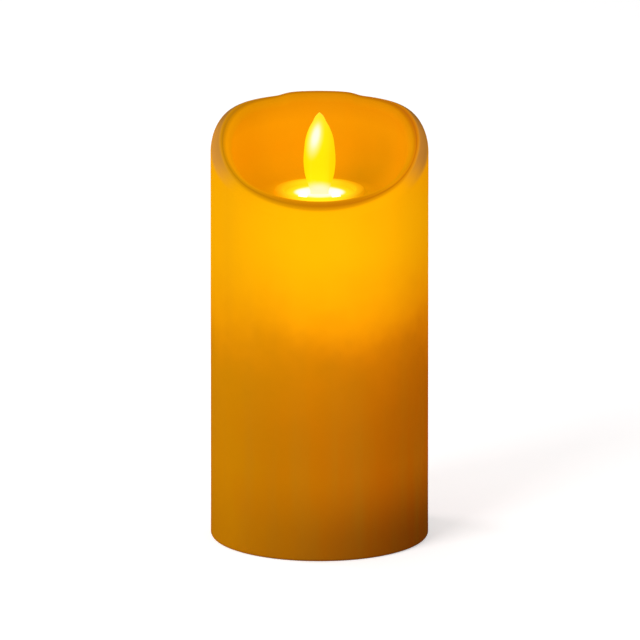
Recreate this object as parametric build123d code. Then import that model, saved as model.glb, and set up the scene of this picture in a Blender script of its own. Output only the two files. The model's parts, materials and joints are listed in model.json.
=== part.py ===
from build123d import *
import math
import os

# Flameless pillar candle with a swinging flame.
#
# A hollow cast wax shell has a melted-looking bowl in its top, low at the front and level at the back.
# Inside, a clamped module carries a flame-shaped paddle that hangs on a steel wire.  Two small LEDs light the
# paddle from in front, and a coil under the paddle's magnet keeps it swaying.  A spacer frame stands on the
# base, carries the control board and holds the module up against the bowl.  The base plugs into the foot of
# the shell, and holds three AAA cells behind a door, and a three-position slide switch.
#
# Frame: +Z up, the front is -Y, the origin is the centre of the resting face.  Sizes are in millimetres.

# ------------------------------------------------------------------ wax shell
BODY_D = 75.0              # outside diameter
BODY_H = 150.0             # height to the highest point of the rim, at the back
WAX_WALL = 5.0             # wall of the shell below the bowl
RIM_WALL = 7.5             # wall of the rim round the bowl
RIM_OUTER_ROUND = 4.2
RIM_INNER_ROUND = 3.0
FRONT_SLOPE = 24.0         # degrees that the rim falls towards the front
LEVEL_Y = 22.0             # behind this line the rim is level
KNEE_SOFTNESS = 6.0        # how gently the level part turns into the slope
WAVE_H = 1.3               # low wave in the middle of the back rim
WAVE_HALF_W = 12.5
WAVE_START_Y = 15.0
WAVE_BLEND_Y = 3.0
BOWL_DEPTH = 28.5          # from the highest rim point to the bowl's floor
BOWL_FILLET = 9.0
BOWL_WEB = 4.0             # thickness of the bowl's floor
BORE_FILLET = 11.0
FOOT_ROUND = 1.2
FOOT_STEP = 2.0            # the foot's bore is this much wider than the shell's bore, on the radius
SKIN_POINTS = 33           # grid that the rim's free surface is passed through
SKIN_MARGIN = 4.5

# ------------------------------------------------------------------ clearances
SLIP = 0.2                 # pieces that plug together, on the radius
RUNNING = 0.05             # the paddle on its wire, on the radius
PILOT_SLIP = 0.02          # screws and pins in their own holes, on the radius

# ------------------------------------------------------------------ flame module
COLLAR_R = 13.4            # sleeve that passes through the bowl's floor
COLLAR_WALL = 1.2
COLLAR_FLANGE = 2.0        # flange that rests on the wax, beyond the sleeve
COLLAR_FLANGE_T = 1.2
COLLAR_SLEEVE_L = 10.0     # below the bowl's floor
COLLAR_PLATE_DROP = 0.2    # top of the slotted plate, below the bowl's floor
COLLAR_PLATE_T = 1.4
SHELL_WALL = 1.4
SHELL_FLANGE = 2.5
SHELL_FLANGE_T = 2.0
SHELL_FLOOR_T = 2.4
SHELL_FLOOR_HOLE_R = 3.5
LEDGE_W = 1.6
LEDGE_T = 1.5
EAR_W = 5.0
EAR_H = 6.0
EAR_DEPTH = 4.0
EAR_ABOVE_FLOOR = (7.0, 25.0)

FLAME_H = 28.1             # flame tip above the bowl's floor
FLAME_W = 11.0
FLAME_T = 1.0
FLAME_CURVE_R = 12.0       # the paddle is cupped towards the front
PIVOT_DROP = 11.0          # wire below the bowl's floor
SWING_DEG = 7.0            # to each side
HUB_R = 2.6
HUB_T = 2.8
STEM_W = 3.2
STEM_T = 2.2
NECK_W = 6.2
WIRE_R = 0.4
WIRE_SEAT = 1.0            # how far each end goes into the module's wall
MAGNET_R = 2.5
MAGNET_T = 3.0
MAGNET_DROP = 16.6         # top of the magnet below the wire
CUP_WALL = 0.85
CUP_ROOF = 1.0
CUP_LIP = 0.2

COIL_GAP = 3.6             # magnet to bobbin
BOBBIN_CORE_R = 3.4
BOBBIN_BORE_R = 1.5
BOBBIN_FLANGE_T = 1.2
WINDING_R = 9.6
WINDING_H = 6.8
COIL_LEAD_X = -6.0
COIL_LEAD_Y = 3.0
COIL_LEAD_PITCH = 2.6

LED_R = 1.5
LED_L = 5.3
LED_FLANGE_R = 1.9
LED_FLANGE_T = 1.0
LED_TIP = (5.2, -4.8)      # each dome, left and right of the flame's foot
LED_TIP_ABOVE_PLATE = 1.6
LED_AIM_UP = 14.1          # rise from the dome to the point on the flame that it is aimed at
LEAD_R = 0.25
LEAD_PITCH = 2.54
LEAD_STRAIGHT = 1.8
LEAD_BEND_R = 0.8
LED_BOARD_T = 1.6
LED_BOARD_EDGE_Y = -4.6
LED_BOARD_DROP = 13.0      # its top, below the bowl's floor
NOTCH_X = (1.5, 9.5)       # where the LED wires leave the housing
NOTCH_H = 3.4

# ------------------------------------------------------------------ base and battery
BASE_LIFT = 2.5            # underside of the base above the table
BASE_T = 3.5
BASE_SLIP = 0.2
CELL_D = 10.5              # AAA
CELL_L = 44.5
CELL_NUB_R = 1.9
CELL_NUB_H = 0.8
CELL_COUNT = 3
CELL_GAP = 0.7
CELL_SIDE_GAP = 0.4
CELL_DOOR_GAP = 0.5
CELL_ROOF_GAP = 0.6
CONTACT_T = 0.4
SPRING_L = 5.5             # pressed length, with the cells in
SPRING_WIRE_R = 0.3
SPRING_WIDE_R = 3.2
SPRING_TAPER = 0.9         # the cell's end is this much narrower, on the radius
SPRING_TURNS = 3.5
DIMPLE_H = 1.0
DIMPLE_R = 1.8
BOX_WALL = 1.6
BOX_CORNER = 6.0
DECK_T = 1.6
SADDLE_T = 1.6
SADDLE_Y = 12.0
SADDLE_SLIP = 0.1

DOOR_T = 1.8
DOOR_SLIP = 0.2
DOOR_LEDGE = 1.4
DOOR_CORNER = 2.0          # rounder than its recess, so the corners swing clear
RECESS_CORNER = 0.8
DOOR_BEVEL = 1.5           # lets the door's edge swing past the lip
TAB_W = 5.2
TAB_X = 10.0
TAB_T = 1.1
TAB_REACH = 1.8
TAB_PLAY = 0.3
LATCH_W = 9.0
LATCH_SLOT = 1.0
LATCH_TONGUE_L = 9.0
THUMB_R = 7.0
THUMB_DEPTH = 1.0
MARK_RELIEF = 0.25
POLARITY_MARK = 2.4
POLARITY_STROKE = 0.6

BOSS_R = 2.8
BOSS_H = 6.0
BOSS_CIRCLE_R = 14.0
FRAME_SCREW_ANGLES = (90.0, 210.0, 330.0)

SWITCH_X = 26.3
SWITCH_L = 12.2
SWITCH_W = 6.4
SWITCH_H = 4.6
SWITCH_PLATE_T = 0.5
SWITCH_EARS = 19.8
SWITCH_SCREW_Y = 8.25
SWITCH_SKIN = 0.4
SWITCH_PIN_PITCH = 2.5
SWITCH_PIN_L = 3.0
KNOB_TRAVEL = 2.0          # to each side of the middle position
KNOB_W = 2.6
KNOB_L = 3.2
KNOB_TIP_ABOVE_TABLE = 1.2
KNOB_PAD = 0.5
KNOB_PLAY = 0.3
KNOB_PAD_T = 1.3
KNOB_HEAD = 0.8            # the shoulder that keeps the knob in its case
SWITCH_POCKET = 1.2

# ------------------------------------------------------------------ spacer frame and control board
FRAME_RING_T = 2.4
FRAME_FOOT_R = 24.0
FRAME_FOOT_HOLE_R = 11.0
FRAME_HEAD_R = 22.0
FRAME_HEAD_HOLE_R = 10.0
LEG_W = 4.0
LEG_D = 6.0
REAR_LEG_X = 15.6
REAR_LEG_Y = 10.0
FRONT_LEG_Y = -18.0
MOUNT_SCREW_X = 7.0
MOUNT_SCREW_Y = 10.5
BOARD_T = 1.6
BOARD_H = 34.0
BOARD_MARGIN = 2.0
BOARD_BELOW_HEAD = 6.0     # gap between the board and the frame's head ring
SOCKET_DEPTH = 4.6
SOCKET_TALL = 5.6
# each socket: x, height above the board's lower edge, width
SOCKETS = {"power": (-4.0, 7.5, 7.5), "coil": (-9.0, 29.0, 5.8), "led": (9.0, 29.0, 5.8)}
SOCKET_PITCH = 2.6
POWER_PITCH = 4.4

# ------------------------------------------------------------------ small hardware
SCREW_R = 1.0
SCREW_HEAD_R = 1.9
SCREW_HEAD_T = 1.3
SCREW_CLEAR = 0.15
CROSS_W = 0.5
CROSS_L = 2.0
CROSS_DEPTH = 0.7
INSULATION_R = 0.6         # battery and switch wires
LOOM_R = 0.45              # coil and LED wires
WIRE_OVER_RING = 3.2       # height of the battery wires over the frame's foot ring
LED_WIRE_ANGLE = -52.0     # where the LED wires run down beside the frame

# ------------------------------------------------------------------ worked-out places
BODY_R = BODY_D / 2
BORE_R = BODY_R - WAX_WALL
FOOT_BORE_R = BORE_R + FOOT_STEP
BOWL_R = BODY_R - RIM_WALL
CREST_R = BODY_R - RIM_OUTER_ROUND
BOWL_Z = BODY_H - BOWL_DEPTH
WEB_Z = BOWL_Z - BOWL_WEB

SLEEVE_R = COLLAR_R - COLLAR_WALL
COLLAR_FOOT_Z = BOWL_Z - COLLAR_SLEEVE_L
PLATE_TOP_Z = BOWL_Z - COLLAR_PLATE_DROP
PLATE_Z = PLATE_TOP_Z - COLLAR_PLATE_T
PIVOT_Z = BOWL_Z - PIVOT_DROP
FLAME_TIP_Z = BOWL_Z + FLAME_H
MAGNET_TOP_Z = PIVOT_Z - MAGNET_DROP
MAGNET_Z = MAGNET_TOP_Z - MAGNET_T
CUP_R = MAGNET_R + RUNNING + CUP_WALL
BOBBIN_TOP_Z = MAGNET_Z - COIL_GAP
BOBBIN_Z = BOBBIN_TOP_Z - 2 * BOBBIN_FLANGE_T - WINDING_H
MODULE_Z = BOBBIN_Z - SHELL_FLOOR_T
SHELL_BORE_R = COLLAR_R + SLIP
SHELL_R = SHELL_BORE_R + SHELL_WALL
EAR_X = SHELL_R + EAR_W / 2 - 0.3
LED_BOARD_TOP_Z = BOWL_Z - LED_BOARD_DROP

BASE_TOP_Z = BASE_LIFT + BASE_T
BASE_R = FOOT_BORE_R - BASE_SLIP
DOOR_TOP_Z = BASE_LIFT + DOOR_T
CELL_R = CELL_D / 2
CELL_PITCH = CELL_D + CELL_GAP
CELL_Z = DOOR_TOP_Z + CELL_DOOR_GAP + CELL_R
BOX_HALF_X = CELL_COUNT * CELL_PITCH / 2 + CELL_SIDE_GAP
BOX_HALF_Y = (CELL_L + SPRING_L + DIMPLE_H + 2 * CONTACT_T) / 2
ROOF_Z = CELL_Z + CELL_R + CELL_ROOF_GAP
DECK_Z = ROOF_Z + DECK_T
LIP_Y = BOX_HALF_Y + 0.1
FRAME_Z = DECK_Z + BOSS_H
FRAME_FLOOR_Z = FRAME_Z + FRAME_RING_T
FRAME_HEAD_Z = MODULE_Z - FRAME_RING_T

BOARD_FACE_Y = REAR_LEG_Y + LEG_D / 2
BOARD_HALF_X = REAR_LEG_X + BOARD_MARGIN
BOARD_TOP_Z = FRAME_HEAD_Z - BOARD_BELOW_HEAD
BOARD_Z = BOARD_TOP_Z - BOARD_H

UP = (Align.CENTER, Align.CENTER, Align.MIN)


# ------------------------------------------------------------------ shared shapes
def cyl(radius, z0, z1, x=0.0, y=0.0):
    """An upright cylinder from z0 to z1."""
    return Pos(x, y, z0) * Cylinder(radius, z1 - z0, align=UP)


def ring(outer, inner, z0, z1):
    """An upright tube from z0 to z1."""
    return cyl(outer, z0, z1) - cyl(inner, z0 - 1, z1 + 1)


def block(x0, x1, y0, y1, z0, z1):
    """A box between two opposite corners."""
    centre = Pos((x0 + x1) / 2, (y0 + y1) / 2, z0)
    return centre * Box(x1 - x0, y1 - y0, z1 - z0, align=UP)


def bar(start, end, radius):
    """A round bar between two points."""
    start, end = Vector(*start), Vector(*end)
    plane = Plane(origin=start, z_dir=end - start)
    return plane * Cylinder(radius, (end - start).length, align=UP)


def turned(points):
    """A solid of revolution about Z from (radius, height) points."""
    outline = make_face(Polyline(*[(r, 0, z) for r, z in points], close=True))
    return revolve(outline, Axis.Z)


def upright(corners, y0, y1):
    """A plate between y0 and y1 whose front view is the outline through the (x, z) corners."""
    outline = make_face(Polyline(*[(x, y0, z) for x, z in corners], close=True))
    return extrude(outline, amount=y1 - y0, dir=(0, 1, 0))


def routed(points, radius):
    """A round wire along straight runs and tangent arcs, each arc as large as its two runs allow."""
    radii = []
    for before, here, after in zip(points, points[1:], points[2:]):
        run_in = Vector(*here) - Vector(*before)
        run_out = Vector(*after) - Vector(*here)
        turn = math.radians(run_in.get_angle(run_out))
        radii.append(0.45 * min(run_in.length, run_out.length) / math.tan(turn / 2))
    path = FilletPolyline(*points, radius=radii)
    start = Vector(*points[0])
    section = Plane(origin=start, z_dir=Vector(*points[1]) - start) * Circle(radius)
    return sweep(section, path=path)


def screw(length):
    """A pan-head screw whose head stands on z = 0 and whose shank runs down to -length."""
    head = cyl(SCREW_HEAD_R, 0, SCREW_HEAD_T)
    head = fillet(head.edges().group_by(Axis.Z)[-1], SCREW_HEAD_T * 0.45)
    top = SCREW_HEAD_T - CROSS_DEPTH
    cross = block(-CROSS_L / 2, CROSS_L / 2, -CROSS_W / 2, CROSS_W / 2, top, SCREW_HEAD_T + 1)
    cross += block(-CROSS_W / 2, CROSS_W / 2, -CROSS_L / 2, CROSS_L / 2, top, SCREW_HEAD_T + 1)
    tip = Pos(0, 0, -length) * Cone(SCREW_R * 0.3, SCREW_R, SCREW_R, align=UP)
    return head + cyl(SCREW_R, SCREW_R - length, 0) + tip - cross


def polar(radius, degrees):
    """The x and y of a point on a circle."""
    turn = math.radians(degrees)
    return radius * math.cos(turn), radius * math.sin(turn)


# ------------------------------------------------------------------ wax shell
def rim_surface_z(x, y):
    """Height of the free surface that the rim is cut to, before it is rounded."""

    def fall(at_y):
        t = (LEVEL_Y - at_y) / KNEE_SOFTNESS
        soft = math.log1p(math.exp(-abs(t))) + max(t, 0.0)
        return math.tan(math.radians(FRONT_SLOPE)) * KNEE_SOFTNESS * soft

    side = math.exp(-((x / WAVE_HALF_W) ** 4))
    back = 1 / (1 + math.exp((WAVE_START_Y - y) / WAVE_BLEND_Y))
    return BODY_H - WAVE_H + WAVE_H * side * back - (fall(y) - fall(CREST_R))


def wax_shell():
    """Cast shell: an open-footed tube with a melted bowl at its top and a hole for the flame's collar."""
    reach = BODY_R + SKIN_MARGIN
    steps = [-reach + 2 * reach * i / (SKIN_POINTS - 1) for i in range(SKIN_POINTS)]
    grid = [[Vector(x, y, rim_surface_z(x, y)) for y in steps] for x in steps]
    skin = Face.make_surface_from_array_of_points(grid, tol=0.02, min_deg=3, max_deg=5)
    above = Solid.extrude(skin, Vector(0, 0, BODY_H / 2))

    top = BODY_H + SKIN_MARGIN
    bowl = cyl(BOWL_R, BOWL_Z, top + 1)
    bowl = fillet(bowl.edges().group_by(Axis.Z)[0], BOWL_FILLET)
    shell = cyl(BODY_R, 0, top) - bowl - above

    for radius, wanted in ((BODY_R, RIM_OUTER_ROUND), (BOWL_R, RIM_INNER_ROUND)):
        rounding = min(wanted, wanted * RIM_WALL / (RIM_OUTER_ROUND + RIM_INNER_ROUND) * 0.98)
        shell = fillet(rim_edges(shell, radius), rounding)

    bore = cyl(BORE_R, -1, WEB_Z)
    bore = fillet(bore.edges().group_by(Axis.Z)[-1], BORE_FILLET)
    shell -= bore + cyl(FOOT_BORE_R, -1, BASE_TOP_Z)
    shell -= cyl(COLLAR_R + SLIP, WEB_Z - 1, BOWL_Z + 1)
    foot = [e for e in shell.edges().group_by(Axis.Z)[0] if e.length > 2 * math.pi * (BODY_R - 0.1)]
    return fillet(foot, FOOT_ROUND)


def rim_edges(shell, radius):
    """The edges where the rim's free surface meets the outside or the bowl."""
    found = []
    for edge in shell.edges():
        points = [edge @ t for t in (0, 0.3, 0.6, 1)]
        on_wall = all(abs(math.hypot(p.X, p.Y) - radius) < 0.05 for p in points)
        in_bowl = radius == BOWL_R and all(p.Z > BOWL_Z + 0.5 for p in points)
        on_skin = all(abs(p.Z - rim_surface_z(p.X, p.Y)) < 0.1 for p in points)
        if on_skin and (on_wall or in_bowl):
            found.append(edge)
    return found


# ------------------------------------------------------------------ flame and module
def led_axis(side):
    """The dome tip and the direction of one LED; side is -1 for left and 1 for right."""
    tip = Vector(side * LED_TIP[0], LED_TIP[1], PLATE_TOP_Z + LED_TIP_ABOVE_PLATE)
    aim = Vector(0, 0, tip.Z + LED_AIM_UP)
    return tip, (aim - tip).normalized()


def flame_collar():
    """Ring that shows in the bowl's floor: a flange on the wax, a sleeve through it, and a slotted plate."""
    flange_r = COLLAR_R + COLLAR_FLANGE
    top = BOWL_Z + COLLAR_FLANGE_T
    collar = turned([
        (SLEEVE_R, COLLAR_FOOT_Z), (COLLAR_R, COLLAR_FOOT_Z), (COLLAR_R, BOWL_Z), (flange_r, BOWL_Z),
        (flange_r, top), (SLEEVE_R + 0.5, top), (SLEEVE_R, top - 0.8),
    ])
    collar = fillet(collar.edges().group_by(Axis.Z)[-1], COLLAR_FLANGE_T * 0.4)
    collar += cyl(SLEEVE_R + 0.1, PLATE_Z, PLATE_TOP_Z)
    swing = (PLATE_TOP_Z - PIVOT_Z) * math.sin(math.radians(SWING_DEG))
    slot_half_x = NECK_W / 2 + swing + 0.6
    slot_half_y = STEM_T / 2 + 0.9
    slot = block(-slot_half_x, slot_half_x, -slot_half_y, slot_half_y, PLATE_Z - 1, PLATE_TOP_Z + 1)
    slot = fillet(slot.edges().filter_by(Axis.Z), slot_half_y * 0.9)
    collar -= slot
    for side in (-1, 1):
        tip, along = led_axis(side)
        collar -= bar(tip - along * LED_L, tip + along * 2, LED_R + 0.25) & cyl(SLEEVE_R, PLATE_Z - 1, BOWL_Z)
    return collar


def flame():
    """Cupped flame silhouette on a stem, with a hub on the wire and a cup for the magnet below."""
    half = FLAME_W / 2
    tall = FLAME_TIP_Z - BOWL_Z
    belly = [(0.14, 0.82), (0.25, 0.94), (0.455, 1.0), (0.665, 0.865), (0.82, 0.67), (0.915, 0.37)]
    right = [(w * half, BOWL_Z + share * tall) for share, w in belly]
    neck_z = PLATE_TOP_Z
    side = [(NECK_W / 2, 0, neck_z)] + [(x, 0, z) for x, z in right] + [(0, 0, FLAME_TIP_Z)]
    right_edge = Spline(*side, tangents=[(0, 0, 1), (-1, 0, 0.25)])
    left_edge = mirror(right_edge, about=Plane.YZ)
    sole = Line((-NECK_W / 2, 0, neck_z), (NECK_W / 2, 0, neck_z))
    outline = make_face([right_edge, left_edge, sole])
    sheet = extrude(outline, amount=FLAME_W, both=True, dir=(0, 1, 0))
    bend = ring(FLAME_CURVE_R + FLAME_T / 2, FLAME_CURVE_R - FLAME_T / 2, neck_z - 1, FLAME_TIP_Z + 1)
    paddle = sheet & (Pos(0, -FLAME_CURVE_R, 0) * bend) & block(-20, 20, -FLAME_CURVE_R, 20, 0, BODY_H * 2)

    hub_z = PIVOT_Z
    cup_top = MAGNET_TOP_Z + CUP_ROOF
    neck = upright([
        (-NECK_W / 2, neck_z + 1.5), (-NECK_W / 2, neck_z - 2), (-STEM_W / 2, hub_z), (-STEM_W / 2, cup_top - 0.2),
        (STEM_W / 2, cup_top - 0.2), (STEM_W / 2, hub_z), (NECK_W / 2, neck_z - 2), (NECK_W / 2, neck_z + 1.5),
    ], -STEM_T / 2, STEM_T / 2)
    hub = bar((0, -HUB_T / 2, hub_z), (0, HUB_T / 2, hub_z), HUB_R)
    cup = cyl(CUP_R, MAGNET_Z - CUP_LIP, cup_top) - cyl(MAGNET_R + RUNNING, MAGNET_Z - 1, MAGNET_TOP_Z)
    body = paddle + neck + hub + cup
    return body - bar((0, -HUB_T, hub_z), (0, HUB_T, hub_z), WIRE_R + RUNNING)


def flame_magnet():
    return cyl(MAGNET_R, MAGNET_Z, MAGNET_TOP_Z)


def pivot_wire():
    """Steel wire from front to back, which the paddle hangs on."""
    reach = SHELL_BORE_R + WIRE_SEAT - 0.1
    return bar((0, -reach, PIVOT_Z), (0, reach, PIVOT_Z), WIRE_R)


def module_shell():
    """Both halves of the module's housing, before they are parted."""
    body = ring(SHELL_R, SHELL_BORE_R, MODULE_Z, WEB_Z)
    body += ring(SHELL_R, SHELL_FLOOR_HOLE_R, MODULE_Z, BOBBIN_Z)
    body += ring(SHELL_R + SHELL_FLANGE, SHELL_R - 0.2, WEB_Z - SHELL_FLANGE_T, WEB_Z)
    ledges = (
        (COLLAR_FOOT_Z - LEDGE_T, COLLAR_FOOT_Z),
        (LED_BOARD_TOP_Z - LED_BOARD_T - LEDGE_T, LED_BOARD_TOP_Z - LED_BOARD_T),
        (BOBBIN_TOP_Z, BOBBIN_TOP_Z + LEDGE_T),
    )
    for z0, z1 in ledges:
        body += ring(SHELL_BORE_R + 0.2, SHELL_BORE_R - LEDGE_W, z0, z1)
    for side in (-1, 1):
        for rise in EAR_ABOVE_FLOOR:
            z = MODULE_Z + rise
            inner, outer = SHELL_BORE_R + 0.5, EAR_X + EAR_W / 2
            low, high = sorted((side * inner, side * outer))
            body += block(low, high, -EAR_DEPTH, EAR_DEPTH, z - EAR_H / 2, z + EAR_H / 2)
    holes = bar((0, -SHELL_BORE_R - WIRE_SEAT, PIVOT_Z), (0, SHELL_BORE_R + WIRE_SEAT, PIVOT_Z), WIRE_R + PILOT_SLIP)
    for side in (-1, 1):
        for rise in EAR_ABOVE_FLOOR:
            x, z = side * EAR_X, MODULE_Z + rise
            holes += bar((x, -EAR_DEPTH - 1, z), (x, 0, z), SCREW_R + SCREW_CLEAR)
            holes += bar((x, -0.5, z), (x, EAR_DEPTH + 1, z), SCREW_R + PILOT_SLIP)
        holes += cyl(SCREW_R + PILOT_SLIP, MODULE_Z - 1, BOBBIN_Z + 1, side * MOUNT_SCREW_X, side * MOUNT_SCREW_Y)
    for x, y in coil_lead_places():
        holes += cyl(LOOM_R + 0.2, MODULE_Z - 1, BOBBIN_Z + 1, x, y)
    low = LED_BOARD_TOP_Z - LED_BOARD_T - LEDGE_T - NOTCH_H
    holes += block(NOTCH_X[0], NOTCH_X[1], -SHELL_R - 1, -SHELL_BORE_R * 0.6, low, low + NOTCH_H)
    return body - holes


def half_of(shape, front):
    """The front or the rear half of a shape, parted on the plane y = 0."""
    low, high = (-BODY_D, 0) if front else (0, BODY_D)
    return shape & block(-BODY_D, BODY_D, low, high, -10, BODY_H * 2)


def module_screws():
    """Four screws that clamp the two halves, driven from the front."""
    length = 2 * EAR_DEPTH - 0.6
    turn = Rot(90, 0, 0)
    places = [(s * EAR_X, MODULE_Z + rise) for s in (-1, 1) for rise in EAR_ABOVE_FLOOR]
    return Compound([(Pos(x, -EAR_DEPTH, z) * turn * screw(length)).solid() for x, z in places])


def led(side):
    """One 3 mm LED, aimed up and back at the flame."""
    tip, along = led_axis(side)
    foot = tip - along * LED_L
    body = cyl(LED_R, 0, LED_L)
    body = fillet(body.edges().group_by(Axis.Z)[-1], LED_R * 0.97) + cyl(LED_FLANGE_R, 0, LED_FLANGE_T)
    return Plane(origin=foot, z_dir=along) * body


def led_leads():
    """The four leads, from the LEDs down through their board."""
    leads = []
    for side in (-1, 1):
        tip, along = led_axis(side)
        foot = tip - along * LED_L
        across = along.cross(Vector(0, 0, 1)).normalized()
        for pair in (-0.5, 0.5):
            start = foot + across * pair * LEAD_PITCH
            bend = start - along * LEAD_STRAIGHT
            end = Vector(bend.X, bend.Y, LED_BOARD_TOP_Z - LED_BOARD_T - 0.8)
            path = FilletPolyline(start, bend, end, radius=LEAD_BEND_R)
            section = Plane(origin=start, z_dir=bend - start) * Circle(LEAD_R)
            leads.append(sweep(section, path=path).solid())
    return Compound(leads)


def led_board():
    """Crescent board in front of the paddle's stem, drilled for the leads."""
    plate = cyl(SHELL_BORE_R - SLIP, LED_BOARD_TOP_Z - LED_BOARD_T, LED_BOARD_TOP_Z)
    plate &= block(-BODY_R, BODY_R, -BODY_R, LED_BOARD_EDGE_Y, 0, BODY_H)
    for lead in led_leads().solids():
        spot = lead.center(CenterOf.BOUNDING_BOX)
        low = lead.faces().sort_by(Axis.Z)[0].center()
        plate -= cyl(LEAD_R + PILOT_SLIP, spot.Z - 20, spot.Z, low.X, low.Y)
    return plate


def coil_bobbin():
    body = cyl(BOBBIN_CORE_R, BOBBIN_Z, BOBBIN_TOP_Z)
    body += cyl(SHELL_BORE_R - SLIP, BOBBIN_Z, BOBBIN_Z + BOBBIN_FLANGE_T)
    body += cyl(SHELL_BORE_R - SLIP, BOBBIN_TOP_Z - BOBBIN_FLANGE_T, BOBBIN_TOP_Z)
    body -= cyl(BOBBIN_BORE_R, BOBBIN_Z - 1, BOBBIN_TOP_Z + 1)
    for side in (-1, 1):
        x, y = side * MOUNT_SCREW_X, side * MOUNT_SCREW_Y
        body -= cyl(SCREW_R + 0.4, BOBBIN_Z - 1, BOBBIN_Z + BOBBIN_FLANGE_T + 1, x, y)
    for x, y in coil_lead_places():
        body -= cyl(LOOM_R + 0.2, BOBBIN_Z - 1, BOBBIN_Z + BOBBIN_FLANGE_T + 0.5, x, y)
    return body


def coil_lead_places():
    """Where the coil's two leads come down through the bobbin's flange and the module's floor."""
    return [(COIL_LEAD_X + n * COIL_LEAD_PITCH, COIL_LEAD_Y) for n in (-0.5, 0.5)]


def coil_winding():
    low = BOBBIN_Z + BOBBIN_FLANGE_T
    return ring(WINDING_R, BOBBIN_CORE_R + RUNNING, low, low + WINDING_H)


# ------------------------------------------------------------------ spacer frame and control board
def spacer_frame():
    """Foot ring, three legs and head ring, which hold the module up against the bowl."""
    body = ring(FRAME_FOOT_R, FRAME_FOOT_HOLE_R, FRAME_Z, FRAME_FLOOR_Z)
    body += ring(FRAME_HEAD_R, FRAME_HEAD_HOLE_R, FRAME_HEAD_Z, MODULE_Z)
    low, high = FRAME_Z + 0.5, MODULE_Z - 0.5
    for side in (-1, 1):
        x0, x1 = sorted((side * (REAR_LEG_X - LEG_W / 2), side * (REAR_LEG_X + LEG_W / 2)))
        body += block(x0, x1, REAR_LEG_Y - LEG_D / 2, REAR_LEG_Y + LEG_D / 2, low, high)
    body += block(-LEG_D / 2, LEG_D / 2, FRONT_LEG_Y - LEG_W / 2, FRONT_LEG_Y + LEG_W / 2, low, high)
    for degrees in FRAME_SCREW_ANGLES:
        x, y = polar(BOSS_CIRCLE_R, degrees)
        body -= cyl(SCREW_R + SCREW_CLEAR, FRAME_Z - 1, FRAME_FLOOR_Z + 1, x, y)
    for side in (-1, 1):
        x, y = side * MOUNT_SCREW_X, side * MOUNT_SCREW_Y
        body -= cyl(SCREW_R + SCREW_CLEAR, FRAME_HEAD_Z - 1, MODULE_Z + 1, x, y)
        for z in board_screw_heights():
            x = side * REAR_LEG_X
            body -= bar((x, BOARD_FACE_Y - 5, z), (x, BOARD_FACE_Y + 1, z), SCREW_R + PILOT_SLIP)
    return body


def frame_screws():
    """Three screws from the frame's foot ring into the base's bosses."""
    places = [polar(BOSS_CIRCLE_R, degrees) for degrees in FRAME_SCREW_ANGLES]
    return Compound([(Pos(x, y, FRAME_FLOOR_Z) * screw(FRAME_RING_T + BOSS_H - 1)).solid() for x, y in places])


def mount_screws():
    """Two screws from the frame's head ring up into the module's floor."""
    turn = Rot(180, 0, 0)
    length = FRAME_RING_T + SHELL_FLOOR_T
    places = [(s * MOUNT_SCREW_X, s * MOUNT_SCREW_Y) for s in (-1, 1)]
    return Compound([(Pos(x, y, FRAME_HEAD_Z) * turn * screw(length)).solid() for x, y in places])


def board_screw_heights():
    return (BOARD_Z + 4, BOARD_TOP_Z - 4)


def control_board():
    """Upright board across the two rear legs."""
    y0 = BOARD_FACE_Y
    board = block(-BOARD_HALF_X, BOARD_HALF_X, y0, y0 + BOARD_T, BOARD_Z, BOARD_TOP_Z)
    board = fillet(board.edges().filter_by(Axis.Y), 1.5)
    for side in (-1, 1):
        for z in board_screw_heights():
            x = side * REAR_LEG_X
            board -= bar((x, y0 - 1, z), (x, y0 + BOARD_T + 1, z), SCREW_R + SCREW_CLEAR)
    return board


def board_screws():
    """Four screws through the board into the rear legs."""
    turn = Rot(-90, 0, 0)
    y = BOARD_FACE_Y + BOARD_T
    places = [(s * REAR_LEG_X, z) for s in (-1, 1) for z in board_screw_heights()]
    return Compound([(Pos(x, y, z) * turn * screw(BOARD_T + 4)).solid() for x, z in places])


def on_board(x, z, wide, tall, thick):
    """A box on the board's front face, at x and at a height above the board's lower edge."""
    y = BOARD_FACE_Y
    return block(x - wide / 2, x + wide / 2, y - thick, y, BOARD_Z + z - tall / 2, BOARD_Z + z + tall / 2)


def control_chip():
    """Fourteen-pin controller with its legs."""
    body = on_board(0, 18, 4.0, 8.6, 1.5)
    body = chamfer(body.faces().sort_by(Axis.Y)[0].edges(), 0.3)
    for side in (-1, 1):
        for n in range(7):
            body += on_board(side * 2.5, 18 + (n - 3) * 1.27, 1.4, 0.45, 0.5)
    dot = bar((-1.3, BOARD_FACE_Y - 1.6, BOARD_Z + 21.4), (-1.3, BOARD_FACE_Y - 1.35, BOARD_Z + 21.4), 0.4)
    return body - dot


def timer_crystal():
    """Quartz can that the timer counts by, lying along the board."""
    can = on_board(8.0, 18.2, 3.6, 9.0, 3.4)
    can = fillet(can.edges().filter_by(Axis.Y), 1.6)
    return fillet(can.faces().sort_by(Axis.Y)[0].edges(), 0.5)


def board_capacitors():
    """Two round capacitors that stand out from the board."""
    cans = []
    for x, z in ((-8.6, 21.0), (-8.6, 13.5)):
        y = BOARD_FACE_Y
        can = bar((x, y - 7.0, BOARD_Z + z), (x, y, BOARD_Z + z), 2.5)
        cans.append(fillet(can.edges().group_by(Axis.Y)[0], 0.5).solid())
    return Compound(cans)


def board_resistors():
    """Small chip resistors and one diode, on the board's front face."""
    places = [(-3.8, 27.5), (0.0, 27.5), (3.8, 27.5), (5.2, 11.7), (1.4, 11.7), (-2.4, 11.7), (9.0, 24.9)]
    return Compound([on_board(x, z, 2.0, 1.25, 0.6).solid() for x, z in places])


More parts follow.
